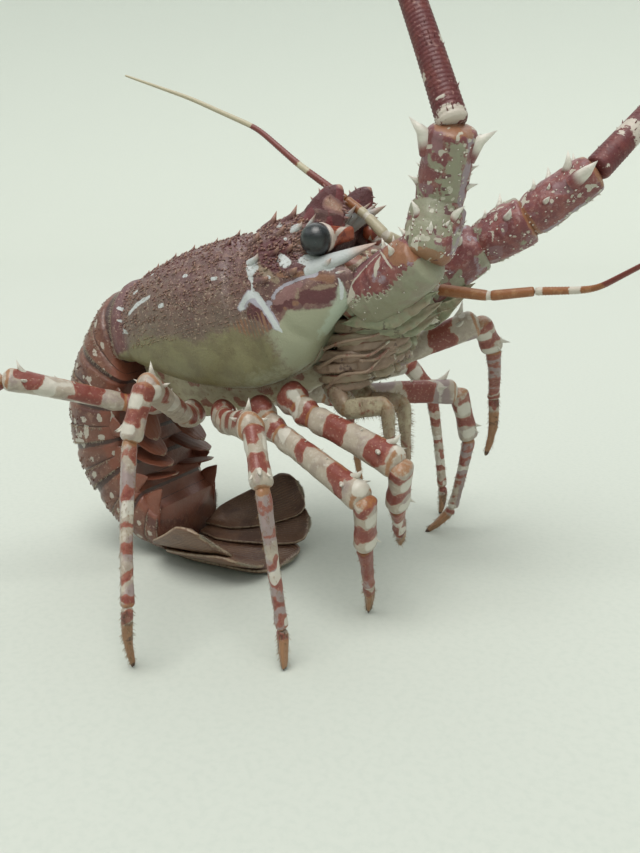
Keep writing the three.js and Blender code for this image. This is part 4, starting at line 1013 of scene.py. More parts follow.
def mouth_marks(grid):
    """Painted shadow: brown all over, for the shade behind the strips, and darker painted shade at its
    rear.
    """
    # painted shadow: the whole block brown, darker towards its rear under the body
    return {"brown": 1, "dark": 0.8 * soft(grid[..., 0], 86, 79)}


def thorax_marks(grid):
    """Ragged red bands between the swellings of the keel, and painted shade over its upper part, under the
    shell.
    """
    bands = np.cos(2 * np.pi * (grid[..., 0] - 12) / LEG_SPACING)
    # dark: painted shade over the upper part, which lies under the shell
    return {"red": 0.7 * soft(bands + noise(grid, 5), 0.5, 1.0), "dark": soft(grid[..., 2], -12, -6)}


# Strips of the mouth, in the carapace's frame: station, distance out and height of three places, half
# thickness, half height, and the mark that tints the strip.
MOUTH_STRIPS = [
    ([[88, 11, -15], [105.5, 14.5, -18.9], [118, 7, -20.9]], 1.3, 2.7, "sand"),
    ([[82, 11, -19], [99.7, 14.7, -22.1], [114, 6.5, -24]], 1.4, 2.3, "sand"),
    ([[89, 12, -23], [101.5, 14.9, -25.2], [111, 7.5, -27]], 1.3, 1.7, "mauve"),
    ([[78, 10.5, -23.4], [94.2, 14.8, -27.2], [110, 7.5, -29]], 1.5, 2.3, "mauve"),
    ([[76.5, 10.4, -27.7], [89.1, 14.6, -30.2], [102, 10.5, -31.6]], 1.5, 1.9, "mauve"),
    ([[92, 12.8, -30.5], [100, 12.4, -32], [108, 7, -31.4]], 1.7, 2.9, "brown"),
    ([[77, 10, -32.2], [87.8, 13.9, -34.3], [98, 10, -35.6]], 1.4, 1.7, "sand"),
    ([[77, 9, -35.2], [86, 12.6, -37], [97, 8.5, -38]], 1.4, 1.7, "brown"),
    ([[101, 12, -27.6], [108.5, 9, -26.8], [114, 4.5, -25]], 1.5, 2.4, "brown"),
]
# Plates of the face under each antenna, given the same way.
FACE_PLATES = [
    ([[95, 17, -15], [115, 19.2, -18.2], [134, 19.5, -14.2]], 1.5, 3.8, "olive"),
    ([[99, 14.5, -19.5], [117, 15.2, -21.6], [132, 13, -17.6]], 1.5, 3.4, "olive"),
    ([[103, 9.5, -22.6], [118, 10.2, -24], [129, 7.5, -20.6]], 1.5, 2.8, "olive"),
]
# Jaws and plates across the front of the mouth, given the same way.
JAWS = [
    ([[112.8, 0.7, -22.2], [113.6, 3.6, -23.6], [110.5, 7.6, -25.2]], 1.5, 2.6, "sand"),
    ([[111.2, 0.8, -26.8], [111.6, 3.8, -27.8], [107.5, 8.2, -28.8]], 1.4, 2.2, "olive"),
    ([[107.6, 0.8, -30.8], [107.8, 4.2, -31.4], [103, 9.2, -32]], 1.4, 2.4, "mauve"),
    ([[102.4, 0.8, -34.6], [102.4, 4.4, -34.8], [98, 9.4, -35]], 1.4, 2.3, "sand"),
]
STRIP_RING = 4.2
STRIP_HAIRS = 70
PALP_RING = 0.9


def mouth_strip(places, thick, tall, tint, sign, order, taper=7, sharp=1.0, lengthwise=True, dull=0.5):
    """A flattened tube of boxy section through three places, pinched every few millimetres, that tapers to
    its ends, red along its upper edge, and with dark mottles that gather on its underside as painted shade.
    Its flat side faces out, or forward where it runs across. Also hairs below."""
    chain = on_body([mirrored(place, sign) for place in places])
    facing = LEFT * sign if lengthwise else turn_to_world(FORWARD)
    along, line, _ = path(chain, 0.35, 6 if lengthwise else 2)
    pinch = 1 - 0.06 * hump(along % STRIP_RING, STRIP_RING / 2, 0.5)
    size = rounded_ends(along, taper) ** sharp * pinch
    rings, normal, _ = tube(
        line, facing, np.stack([thick * size, tall * size], 1), 32,
        lambda a, p: 0.3 * np.sin(2 * a) ** 2 + 0.3 * noise(p, 2, order) + 0.4 * noise(p, 5, order + 1))
    upper = normal[..., 2]
    cloud = noise(rings, 5, order) + 0.5 * noise(rings, 2, order + 2)
    end = soft(along, along[-1] - 2, along[-1] - 0.8)[:, None]
    marks = {
        "mauve": 1.3 * dull + 0.3 * soft(cloud, 0.3, -0.5),
        "brown": dull + 0.3 * soft(cloud, 0.5, -0.5),
        "red": 0.8 * soft(upper + 0.6 * noise(rings, 3, order + 7), 0.45, 0.95),
        # dark: painted shade under the strip, noise mottles that gather where the normal points down
        "dark": 0.5 * soft(noise(rings, 3, order + 3) - 0.4 * upper, 0.35, 0.8),
        "pale": 0.45 * soft(noise(rings, 1.2, order), 0.55, 0.8) + 0.5 * end,
    }
    marks[tint] = marks.get(tint, 0) + 0.4 + 0.35 * soft(cloud, -0.7, 0.3)
    lowest = upper[len(line) // 2].argmin()
    below = np.broadcast_to(0.5 * facing - 0.6 * UP, line[3:-3].shape)
    drift = 0.8 * unit(chain[-1] - chain[0])
    hairs = rim_hairs(rings[3:-3, lowest], below, drift, 1.5, STRIP_HAIRS, 0.08)
    return closed_tube(rings, **clipped(marks)), hairs


def strips(table, first, **options):
    """The strips of a table on both sides, with the hairs of each. Their numbers, from first on, seed their
    noise."""
    return [mouth_strip(*row, sign, first + order, **options)
            for order, row in enumerate(table) for sign in SIDES.values()]


face_parts = [lofted(FACE_ROWS, 96, face_section, 0.5, face_relief, face_marks)]
face_parts += [plate for plate, _ in strips(FACE_PLATES, 20, taper=19, sharp=2.2, dull=0.2)]
# Small spines of the face: root on the left, in the carapace's frame, and length, pointing forward and
# down.
FACE_SPINES = [[120.5, 3.0, -9.5, 2.4], [119.4, 6.6, -10.5, 2.2], [118, 9.6, -12.5, 2.4],
               [121, 1.6, -23, 2.6],
               [120.6, 4.6, -22.8, 2.4], [119.6, 7.4, -21.6, 2.2], [114.5, 5, 2.6, 2.0],
               [111.5, 9.5, 5.6, 2.2],
               [108.6, 13.2, 6.8, 2.6], [115, 12.5, -5, 2.0], [112, 16, -9, 2.2]]
spines = np.array([[x, sign * y, z, size] for x, y, z, size in FACE_SPINES for sign in SIDES.values()])
away = unit(np.array([1.0, 0, -0.25]) + spines[:, :3] * [0, 0.03, 0.01])
sizes = spines[:, 3]
face_parts.append(spikes(on_body(spines[:, :3]), turn_to_world(away), sizes, 0.36 * sizes, 9, pale=0.9))
make("face_block", face_parts, PALE, "pale_shell", "face")
mouth_parts = [lofted(MOUTH_ROWS, 96, mouth_section, 0.5, mouth_relief, mouth_marks)]
for pair in strips(MOUTH_STRIPS, 0) + strips(JAWS, 40, taper=2.5, lengthwise=False):
    mouth_parts += pair
# Thin ringed palps over the strips: places as above, and radius.
PALPS = [
    ([[80, 12.5, -22.5], [93, 17.2, -21.2], [105, 17.4, -22.4], [113, 12, -21.5]], 0.75),
    ([[79, 12.5, -28], [91, 17.2, -25.8], [103, 16.8, -28.6], [109, 11, -25.5]], 0.85),
    ([[80, 12, -36], [90, 15.6, -32.4], [100, 16, -34], [106, 10.5, -29]], 0.8),
    ([[98, 16.4, -29.2], [104, 14, -30.6], [108.5, 10.5, -27.6], [107, 9, -24]], 0.9),
]


def palp(places, radius, sign, seed):
    """A thin tube through its places, ringed by a fine ripple, with a red tinge and a paler end."""
    along, line, _ = path(on_body([mirrored(place, sign) for place in places]), 0.22, 4)
    ripple = 1 + 0.07 * np.sin(2 * np.pi * along / PALP_RING)
    size = radius * (1 - 0.5 * along / along[-1]) * rounded_ends(along, 0.8) * ripple
    rings, _, _ = tube(line, UP, size, 12)
    end = 0.6 * soft(along, 0.8 * along[-1], along[-1])[:, None]
    return closed_tube(rings, red=0.5 * soft(noise(rings, 4, 70 + seed), 0.0, 0.4), mauve=0.9, pale=end)


for order, (places, radius) in enumerate(PALPS):
    mouth_parts += [palp(places, radius, sign, order) for sign in SIDES.values()]
make("mouth_block", mouth_parts, PALE, "pale_shell", "mouthparts")
sternum = lofted(THORAX_ROWS, 96, thorax_section, 0.6, thorax_relief, thorax_marks)
make("sternum", [sternum], PALE, "pale_shell", "thorax")

# Legs

# How stout each leg is, where its root leaves the thorax in the carapace's frame, and its joints on the
# right and left. The last is the foot.
LEGS = {
    "leg_1": (1.12, [66, 17, -32], {"right": [[89, -37, 61], [84, -27, 42.5], [81.5, -18, 31],
                                              [79.5, -12, 23]],
                                    "left": [[90, 40, 99.5], [92.5, 52, 87], [88, 72, 63], [84, 78, 35]]}),
    "leg_2": (1.05, [52, 18, -33.5], {"right": [[80, -45, 50], [77, -38, 30], [75, -30, 13],
                                                [72.5, -24, 0]],
                                      "left": [[77, 56, 67.5], [79.5, 66, 44.5], [72, 70, 10.5],
                                               [62.5, 62, 0]]}),
    "leg_3": (1.0, [37, 18.5, -33.5], {"right": [[51.5, -67, 76], [59.5, -75, 59], [64, -72, 13],
                                                 [65.5, -73.5, 0]],
                                       "left": [[48, 70, 76], [57, 79, 60], [62, 84, 15], [60, 88, 0]]}),
    "leg_4": (0.95, [24.5, 18.5, -31.5],
              {"right": [[16.5, -74.5, 87.5], [15, -82, 70], [26.5, -100.5, 24], [22, -94, 0]],
               "left": [[12, 75, 84], [8, 86, 67], [6, 108, 22], [8, 112, 0]]}),
    "leg_5": (0.88, [11, 16, -24.5], {"right": [[-60, -63, 81], [-75, -72, 71], [-92, -90, 25],
                                                [-93, -95, 0]],
                                      "left": [[-56, 62, 79], [-70, 73, 69], [-95, 88, 24], [-98, 92, 0]]}),
}
LEG_FLATNESS = 0.9
# Stations of the upper leg: share of the way to the knee, drop below the straight line, radius.
UPPER_LEG = [[0, 0, 5.5], [0.1, 2, 5.6], [0.15, 2.8, 4.3], [0.2, 3.3, 4.9], [0.28, 3.4, 3.9],
             [0.34, 3.2, 4.4],
             [0.42, 2.6, 4.2], [0.7, 1, 4.5], [0.9, 0.2, 4.9], [0.95, 0.1, 5.0], [1, 0, 4.4]]
# Stations of each lower stretch: share of it, radius. They are carpus, propodus and dactyl.
LOWER_LEG = [
    [[-0.06, 3.4], [0.08, 4.0], [0.25, 3.9], [0.5, 3.6], [0.75, 4.0], [0.93, 3.9], [1, 3.1]],
    [[-0.04, 2.1], [0.05, 2.7], [0.2, 2.5], [0.6, 2.15], [0.85, 2.1], [0.95, 2.4], [1, 2.1]],
    [[-0.04, 1.7], [0.1, 2.05], [0.5, 1.65], [0.85, 1.05], [0.97, 0.65], [1, 0.35]],
]
# Red blotches: share of the stretch and half length in millimetres.
MERUS_BLOTCHES = [[0.07, 3.0], [0.25, 2.2], [0.52, 4.6], [0.84, 3.8]]
ONE_BLOTCH = [[0.2, 1.5], [0.74, 6.0]]
LOWER_BLOTCHES = [
    [[0.1, 2.0], [0.55, 3.0]],
    [[0.08, 3.0], [0.3, 1.4], [0.48, 1.8], [0.62, 2.2], [0.78, 2.2], [0.94, 1.5]],
    [[0.06, 1.6]],
]
# Spines of the merus, strong ones at its far end: share of it, turn round it, length.
MERUS_SPINES = np.array([[0.9, 0.25, 4.8], [0.88, 0.43, 3.2], [0.88, 0.07, 3.2], [0.7, 0.3, 1.4],
                         [0.6, 0.22, 1.2], [0.5, 0.28, 1.2]])
# Spines of the carpus: share of it, columns from its top, length.
CARPUS_SPINES = np.array([[0.75, 0, 3.2], [0.8, 5, 2.0], [0.8, -5, 2.0]])
CARPUS, PROPODUS, DACTYL = 0, 1, 2
LEG_SIDES = 40
LEG_STEP = 0.55
DACTYL_SIDES = 28


def leg_chain(name, side):
    """Places of a leg: its root on the thorax, its joints, and its foot."""
    _, root, joints = LEGS[name]
    return np.concatenate([[on_body(mirrored(root, SIDES[side]))], np.array(joints[side], float)])


def blotched(along, length, rings, blotches, seed):
    """How red each place of a leg is: 1 within each blotch's half length, over edges that noise moves."""
    warped = along[:, None] + 3.4 * noise(rings, 6, seed) + 1.5 * noise(rings, 2.4, seed + 5)
    red = 0 * warped
    for at, half in blotches:
        red = np.maximum(red, soft(np.abs(warped - at * length) - half, 1.6, -1.4))
    return red


def flutes(angle, rings):
    """Low lengthwise furrows and swellings of a leg article."""
    return 0.26 * np.cos(3 * angle + 0.6) + 0.16 * noise(rings, 3.2) + 0.06 * noise(rings, 1.2)


def upper_leg(name, side, seed):
    """The merus: a tube from the root to the knee that sags below the straight line by its table. It has
    red blotches, amber where articles meet and along a ridge on top, pale and violet clouds, and spines."""
    stout = LEGS[name][0]
    root, knee = leg_chain(name, side)[:2]
    way = knee - root
    share = np.linspace(0, 1, int(np.linalg.norm(way) / LEG_STEP))
    values = read_table(UPPER_LEG, share)
    line = root + share[:, None] * way - values[:, :1] * UP
    along = share * np.linalg.norm(way)
    radius = values[:, 1] * stout * rounded_ends(along, 3.4)
    across = unit(np.cross(UP, way))
    rings, normal, angle = tube(line, across, np.stack([radius * LEG_FLATNESS, radius], 1), LEG_SIDES,
                                flutes)
    one = name in ("leg_1", "leg_2") and side == "left"
    red = blotched(along, along[-1], rings, ONE_BLOTCH if one else MERUS_BLOTCHES, seed)
    red = red * (1 if one else soft(np.sin(angle) + 0.8 * noise(rings, 5, seed + 1), -0.8, -0.2))
    joints = sum(hump(share, at, 0.014) for at in (0.15, 0.28, 0.97))
    ridge = hump(angle, np.pi / 2, 0.16) * soft(noise(rings, 5, seed + 2), -0.3, 0.3)
    ridge = ridge * soft(share, 0.3, 0.4)[:, None]
    amber = np.maximum(0.8 * np.clip(joints, 0, 1)[:, None], 0.75 * ridge)
    pale = soft(noise(rings, 6, seed + 3), 0.25, 0.5) * (1 - red) * 0.8
    violet = soft(noise(rings, 9, seed + 8), 0.1, 0.6) * (0.9 if one else 0.5)
    body = closed_tube(rings, red=red, amber=amber, pale=pale, violet=violet)
    i = (MERUS_SPINES[:, 0] * (len(share) - 1)).astype(int)
    k = (MERUS_SPINES[:, 1] * LEG_SIDES).astype(int)
    sizes = MERUS_SPINES[:, 2] * stout
    return [body, grown((rings, normal), (i, k), sizes, 0.3 * sizes, 9, unit(way), 0.45, True, pale=1.0)]


def shank_marks(order, share, angle, rings, seed):
    """Patterns of a lower stretch, and by how much its red blotches are weakened: amber where articles
    meet, with pale flanks on the carpus and pale and violet clouds on the propodus, and an amber dactyl
    with a dark claw."""
    if order == CARPUS:
        pale = soft(np.abs(np.cos(angle)), 0.55, 0.85) * (hump(share, 0.3, 0.14) + hump(share, 0.78, 0.1))
        return {"amber": soft(share, 0.9, 0.99) + 0.6 * soft(share, 0.08, 0.0), "pale": pale,
                "red": 1 - pale,
                "violet": 0.5 * soft(noise(rings, 6, seed), 0.1, 0.5), "dark": 0}
    if order == PROPODUS:
        return {"amber": 0.8 * soft(share, 0.93, 1) + 0.8 * soft(share, 0.05, 0.0),
                "pale": soft(noise(rings, 4, seed + 4), 0.2, 0.5) * soft(share, 0.25, 0.45),
                "violet": soft(noise(rings, 8, seed), -0.4, 0.2), "dark": 0,
                "red": 0.75 + 0.5 * noise(rings, 7, seed + 9)}
    return {"amber": soft(share, 0.12, 0.3), "pale": 0, "violet": 0, "red": 1,
            "dark": soft(share, 0.86, 0.97) + 0.5 * soft(noise(rings, 3, seed + 6), 0.0, 0.5)}


def lower_leg(name, side, seed):
    """Carpus, propodus and dactyl: a tube for each, bowed in the leg's own plane as sin(pi s), the first
    with spines. Also bristles on the others."""
    stout = LEGS[name][0]
    chain = leg_chain(name, side)[1:]
    plane = unit(np.cross(chain[1] - chain[0], chain[2] - chain[1]) + 1e-6 * LEFT)
    if plane @ np.cross(UP, chain[1] - chain[0]) < 0:
        plane = -plane
    pieces, hairs = [], []
    for order, (stations, start, end) in enumerate(zip(LOWER_LEG, chain[:-1], chain[1:])):
        way = end - start
        length = np.linalg.norm(way)
        share = np.linspace(stations[0][0], 1, int(length / LEG_STEP) + 6)
        bow = 0.05 * length * np.sin(np.pi * np.clip(share, 0, 1)) * (1 if order == DACTYL else 0.25)
        line = start + share[:, None] * way + bow[:, None] * unit(np.cross(unit(way), plane))
        if order == DACTYL and end[2] == 0:
            line[:, 2] = np.maximum(line[:, 2], 0.35)
        ends = rounded_ends(share * length, 2.6 if order == CARPUS else 1.4)
        radius = read_table(stations, share)[:, 0] * stout * ends
        sides = DACTYL_SIDES if order == DACTYL else LEG_SIDES
        rings, normal, angle = tube(line, plane, np.stack([radius * LEG_FLATNESS, radius], 1), sides,
                                    flutes)
        rings[..., 2] = np.maximum(rings[..., 2], 0.0)
        marks = shank_marks(order, share[:, None], angle, rings, seed)
        red = blotched(share * length, length, rings, LOWER_BLOTCHES[order], seed + order)
        marks = clipped(dict(marks, red=red * marks["red"]))
        marks["pale"] = marks["pale"] * (1 - marks["amber"])
        pieces.append(closed_tube(rings, **marks))
        if order == CARPUS:
            i = (CARPUS_SPINES[:, 0] * len(share)).astype(int)
            k = (0.25 * sides + CARPUS_SPINES[:, 1]).astype(int) % sides
            sizes = CARPUS_SPINES[:, 2] * stout
            pieces.append(grown((rings, normal), (i, k), sizes, 0.3 * sizes, 8, unit(way), 0.45, True,
                                pale=1.0))
        else:
            count = int(length * (9 if order == DACTYL else 4))
            places = strewn((3, len(share) - 3), (0, sides), count)
            sizes = random.uniform(0.8, 2.0, count) * (1.0 if order == DACTYL else 0.8)
            roots = rings[places]
            keep = roots[:, 2] > 1.6
            lean = leaning(normal[places], unit(way), 0.55) + 0.15 * random.standard_normal((count, 3))
            hairs.append(spikes(roots[keep], lean[keep], sizes[keep], HAIR_RADIUS, 3))
    return pieces, hairs


leg_hairs = []
for order, name in enumerate(LEGS):
    for side in SIDES:
        seed = 3 * order + (17 if side == "left" else 5)
        make(f"{name}_{side}_merus", upper_leg(name, side, seed), LEG, "leg", f"{name}_{side}_upper")
        pieces, hairs = lower_leg(name, side, seed + 40)
        make(f"{name}_{side}_shank", pieces, LEG, "leg", f"{name}_{side}_lower")
        leg_hairs += hairs
make("leg_bristles", leg_hairs, BRISTLE, "leg")

# Third maxillipeds

MAXILLIPED_ROOT = [80, 8, -35]
MAXILLIPEDS = {
    "right": [[59, -15, 72], [76, -18, 76], [78, -18, 56]],
    "left": [[61, 2, 72], [75, 0, 73.5], [77, 0, 51]],
}
MAXILLIPED_RADII = [4, 3.7, 3.3, 1.5]
# Red blotches: share of the length and half length in millimetres.
MAXILLIPED_BLOTCHES = [[0.12, 1.2], [0.47, 1.0], [0.86, 1.2]]
MAXILLIPED_HAIRS = 620


def maxilliped(side, sign):
    """A flattened tube with a waist at each joint, amber there, with red blotches over mauve clouds. Also
    its hairs."""
    chain = np.concatenate([[on_body(mirrored(MAXILLIPED_ROOT, sign))], MAXILLIPEDS[side]])
    along, line, joints = path(chain, 0.5, 2.5)
    waist = sum(hump(along, joint, 1.6) for joint in joints[1:-1])
    radius = np.interp(along, joints, MAXILLIPED_RADII) * rounded_ends(along, 1.5) * (1 - 0.16 * waist)
    plane = np.cross(chain[1] - chain[0], chain[3] - chain[2])
    rings, normal, _ = tube(line, plane, np.stack([radius * 0.8, radius], 1), LEG_SIDES, flutes)
    body = closed_tube(rings, red=0.6 * blotched(along, along[-1], rings, MAXILLIPED_BLOTCHES, 60 + sign),
                       mauve=0.3 + 0.4 * soft(noise(rings, 8, 61), -0.3, 0.3), amber=0.6 * waist[:, None])
    places = strewn((10, len(along) - 3), (0, LEG_SIDES), MAXILLIPED_HAIRS)
    sizes = random.uniform(0.8, 2.2, MAXILLIPED_HAIRS)
    ahead = np.gradient(line, axis=0)[places[0]]
    return body, grown((rings, normal), places, sizes, HAIR_RADIUS, 3, ahead, 0.4)


mouth_hairs = []
for side, sign in SIDES.items():
    body, hairs = maxilliped(side, sign)
    make(f"maxilliped_{side}_leg", [body], PALE, "pale_shell", f"maxilliped_{side}")
    mouth_hairs.append(hairs)
make("mouth_bristles", mouth_hairs, BRISTLE, "pale_shell")

# Antennae

ANTENNA_ROOT = [107, 15.5, -9]
# Joints of each stem, the whip's azimuth and elevation at its root, and by how much they turn, in degrees.
ANTENNAE = {
    "right": ([[91, -24, 127], [92, -17, 143], [99, -26, 166]], (150, 62), (12, -14)),
    "left": ([[93.5, 25, 129], [110, 28, 139], [131, 33, 155]], (55, 40), (40, -8)),
}
# Stations of each article: share of it, half width, half height.
STEM = {
    "base": [[-0.12, 8, 8.6], [0.0, 8.6, 9.8], [0.2, 9.2, 10.8], [0.55, 9.6, 10.6], [0.85, 9.4, 9.6],
             [0.97, 8.6, 8.8],
             [1.04, 6.8, 7]],
    "middle": [[-0.12, 6.4, 6.4], [0.02, 7.6, 7.4], [0.25, 8.8, 8.6], [0.7, 9.3, 9.0], [0.92, 9.0, 8.8],
               [1.03, 7.2, 7]],
    "upper": [[-0.1, 6, 6], [0.04, 7.4, 7.2], [0.25, 8.0, 7.8], [0.65, 7.8, 7.6], [0.9, 7.4, 7.2],
              [1.02, 5.6, 5.6]],
}
FLAGELLUM_LENGTH = 380
WHIP_STEPS = 16
WHIP_SIDES = 18
WHIP_ROOT_RADIUS, WHIP_TIP_RADIUS = 4.9, 0.5
# The rings of the whips, palps and antennules are drawn as coarse as they need to be to show.
WHIP_RING = 1.5
# Where the first white band lies along each whip.
WHIP_BANDS = {"right": 1.8, "left": 19}
# The whips' further bands, as distance along and width, and where their flecked patches lie.
FURTHER_BANDS = [(150, 2.5), (235, 2), (300, 2)]
FLECKED_PATCHES = (27, 52, 78, 118, 190)
WHIP_GRAINS = 900
GRAINED_COLUMNS = [1, 2, 3, 10, 11, 12]
STEM_COLUMNS = 120
STEM_GRAINS = 110
# White spines of a stem piece: share of its length, turn round it (0.25 above, 0.5 outer on the left),
# length.
STEM_SPINES = {
    "base": [[0.42, 0.2, 2.6], [0.6, 0.32, 3.4], [0.62, 0.1, 3], [0.78, 0.22, 5.5], [0.8, 0.42, 4.4],
             [0.8, 0.96, 4.4],
             [0.3, 0.3, 1.8], [0.5, 0.26, 2], [0.7, 0.28, 2.2]],
    "middle": [[0.3, 0.12, 3], [0.34, 0.32, 3.2], [0.62, 0.22, 4.5], [0.7, 0.44, 5], [0.7, 0.96, 5],
               [0.5, 0.4, 2.2],
               [0.45, 0.02, 2.2]],
    "upper": [[0.2, 0.1, 3.4], [0.24, 0.3, 3.6], [0.28, 0.48, 3.6], [0.3, 0.92, 3.6], [0.46, 0.2, 4.4],
              [0.7, 0.08, 6],
              [0.72, 0.34, 6], [0.78, 0.48, 9], [0.76, 0.94, 8.5], [0.4, 0.4, 2.4], [0.5, 0.98, 2.4],
              [0.85, 0.22, 3]],
}


def antenna_chain(side):
    """Joints of an antenna's stem, and places along its whip: even steps whose azimuth and elevation turn
    evenly from root to tip."""
    joints, whip, sweep = ANTENNAE[side]
    chain = np.concatenate([[on_body(mirrored(ANTENNA_ROOT, SIDES[side]))], np.array(joints, float)])
    share = np.arange(WHIP_STEPS) / (WHIP_STEPS - 1)
    azimuth = np.radians(whip[0] + sweep[0] * share)
    elevation = np.radians(whip[1] + sweep[1] * share)
    steps = np.stack([np.cos(azimuth) * np.cos(elevation), np.sin(azimuth) * np.cos(elevation),
                      np.sin(elevation)], 1)
    lash = chain[-1] + np.concatenate([np.zeros((1, 3)),
                                       np.cumsum(steps, 0)]) * FLAGELLUM_LENGTH / WHIP_STEPS
    return chain, lash


# Marks of the base article, on its outer side: strokes of share, turn round it and radius.
BASE_MARKS = {
    "pale": [[[0.6, 0.36, 0.35], [0.35, 0.4, 0.45], [0.09, 0.443, 0.6], [0.07, 0.485, 1.5],
              [-0.1, 0.52, 0.6]],
             [[0.6, 0.36, 0.35], [0.69, 0.425, 0.4], [0.76, 0.498, 0.35]],
             [[0.6, 0.395, 0.4], [0.56, 0.44, 1.3], [0.515, 0.485, 0.5]]],
    "amber": [[[0.75, 0.37, 3.4], [0.86, 0.42, 3.8], [0.97, 0.48, 3.2]]],
    "mauve": [[[0.0, 0.42, 2.6], [0.28, 0.365, 3.2], [0.5, 0.33, 2.6]]],
}
# Where the base article's grey green lower side begins: share, turn.
BASE_EDGE = [[-0.2, 0.49], [0.05, 0.511], [0.24, 0.537], [0.36, 0.55], [0.51, 0.572], [0.8, 0.559],
             [1.1, 0.53]]
BASE_DOTS = np.array([0.05, 0.14, 0.24, 0.31, 0.38, 0.51, 0.62, 0.8])


def base_article_marks(share, turn, length, rings):
    """Patterns of the base article: strokes over its unrolled side, and cream past a wavy edge with dots
    along it."""
    scale = np.array([length, 2 * np.pi * 10])
    flat = np.stack([share, turn], -1) * scale
    ragged = 0.35 * noise(rings, 3) + 0.2 * noise(rings, 1.3)
    marks = {}
    for name, strokes in BASE_MARKS.items():
        near = [distance_to(flat, np.array(chain)[:, :2] * scale,
                            np.array(chain)[:, 2]) for chain in strokes]
        marks[name] = np.clip(1.5 - np.min(near, axis=0) + ragged, 0, 1)
    edge = read_table(BASE_EDGE, share)[..., 0]
    wave = 0.012 * np.cos(2 * np.pi * (share - 0.1) / 0.08)
    over = turn - edge - wave + 0.01 * noise(rings, 3)
    marks["cream"] = soft(over, -0.012, 0.012) * soft(turn, 1.0, 0.93)
    bare = soft(noise(rings, 4, 37) + 0.5 * noise(rings, 1.8, 38), -0.2, 0.3)
    marks["cream"] = marks["cream"] * (1 - soft(turn, 0.68, 0.8) * bare)
    sway = 0.012 * np.sin(BASE_DOTS * 37)
    dots = np.stack([BASE_DOTS + sway, read_table(BASE_EDGE, BASE_DOTS)[:, 0] + 0.012 + sway], -1) * scale
    near = np.min([np.linalg.norm(flat - dot, axis=-1) for dot in dots], axis=0)
    marks["dark"] = 0.75 * soft(near, 0.6, 0.35)
    marks["pale"] = np.maximum(marks["pale"], 0.56 * soft(np.abs(near - 0.95), 0.5, 0.15))
    marks["lilac"] = 0.6 * soft(noise(rings, 4, 36), 0.1, 0.6)
    return marks


# The pale streak along an article, as its place round it and half its width, on the outer side.
STREAKS = {"middle": (0.28, 0.17), "upper": (0.755, 0.055)}


def upper_article_marks(name, side, share, turn, rings):
    """Patterns of the other articles: a pale streak along one side with a lavender edge, narrow on the left
    antenna, over dark mottles with many small pale flecks, and small dark dots on the streak."""
    place, half = STREAKS[name]
    half = half if side == "right" else 0.45 * half
    off = ((turn - place + 0.5) % 1 - 0.5) / half
    cloud = 0.5 * noise(rings, 6, 21) + 0.45 * noise(rings, 2.4, 5)
    cream = soft(1.15 - np.abs(off) + cloud, -0.35, 0.75) * soft(share, 1.0, 0.8)
    cream = np.maximum(cream, 0.62 * soft(noise(rings, 5, 22) + 0.5 * noise(rings, 2.2, 23), 0.3, 0.9))
    lilac = (soft(1 - np.abs(np.abs(off - 1.9) - 0.2) + cloud, -0.1, 0.9)
             * soft(noise(rings, 3, 24), -0.6, 0.2))
    flecks = 0.8 * soft(noise(rings, 1.7, 33) + 0.4 * noise(rings, 5, 34), 0.42, 0.75)
    return {"cream": cream, "lilac": lilac, "pale": flecks,
            "dark": soft(noise(rings, 1.8, 31), 0.55, 0.7) * cream,
            "mauve": soft(noise(rings, 4, 35), 0.0, 0.6),
            "amber": soft(share + 0.05 * noise(rings, 3), 0.9, 1.0) + 0.7 * soft(share, 0.06, 0.0)}


def knobbly(angle, rings):
    """Swellings of an antenna article, low and high ones."""
    return 0.35 * noise(rings, 4.5) + 0.18 * noise(rings, 1.8) + 0.2 * np.cos(4 * angle)


def antenna_piece(side, order, name):
    """One article of a stem: a knobbly tube by its table, with its patterns, its white spines, and grains
    strewn over it."""
    chain, lash = antenna_chain(side)
    start, end = np.concatenate([chain, lash[1:2]])[order:order + 2]
    way = end - start
    length = np.linalg.norm(way)
    table = STEM[name]
    share = np.linspace(table[0][0], table[-1][0], int(length / 0.4))
    radii = read_table(table, share) * rounded_ends(share * length, 1.8)[:, None]
    line = start + share[:, None] * way
    rings, normal, angle = tube(line, np.cross(UP, way), radii, STEM_COLUMNS, knobbly)
    spread = np.broadcast_to(share[:, None], angle.shape)
    turn = angle / (2 * np.pi)
    outer = turn if side == "right" else (0.5 - turn) % 1
    if name == "base":
        marks = base_article_marks(spread, outer, length, rings)
    else:
        marks = upper_article_marks(name, side, spread, outer, rings)
    surface, forward = (rings, normal), unit(way)
    at, around, sizes = np.array(STEM_SPINES[name]).T
    i = np.interp(at, share, np.arange(len(share))).astype(int)
    k = (around * STEM_COLUMNS).astype(int) % STEM_COLUMNS
    lean = np.where(sizes > 7, 0.6, 0.42)[:, None]
    spines = grown(surface, (i, k), sizes, 0.34 * sizes, 10, forward, lean, True)
    i, k = strewn((4, len(share) - 6), (0, STEM_COLUMNS), STEM_GRAINS)
    if name == "base":
        i = i[marks["cream"][i, k] < 0.5]
        k = k[:len(i)]
    sizes = random.uniform(0.4, 1.1, len(i))
    grains = grown(surface, (i, k), sizes, 0.4 * sizes, 6, forward, 0.5)
    return [closed_tube(rings, **clipped(marks)), spines, grains]


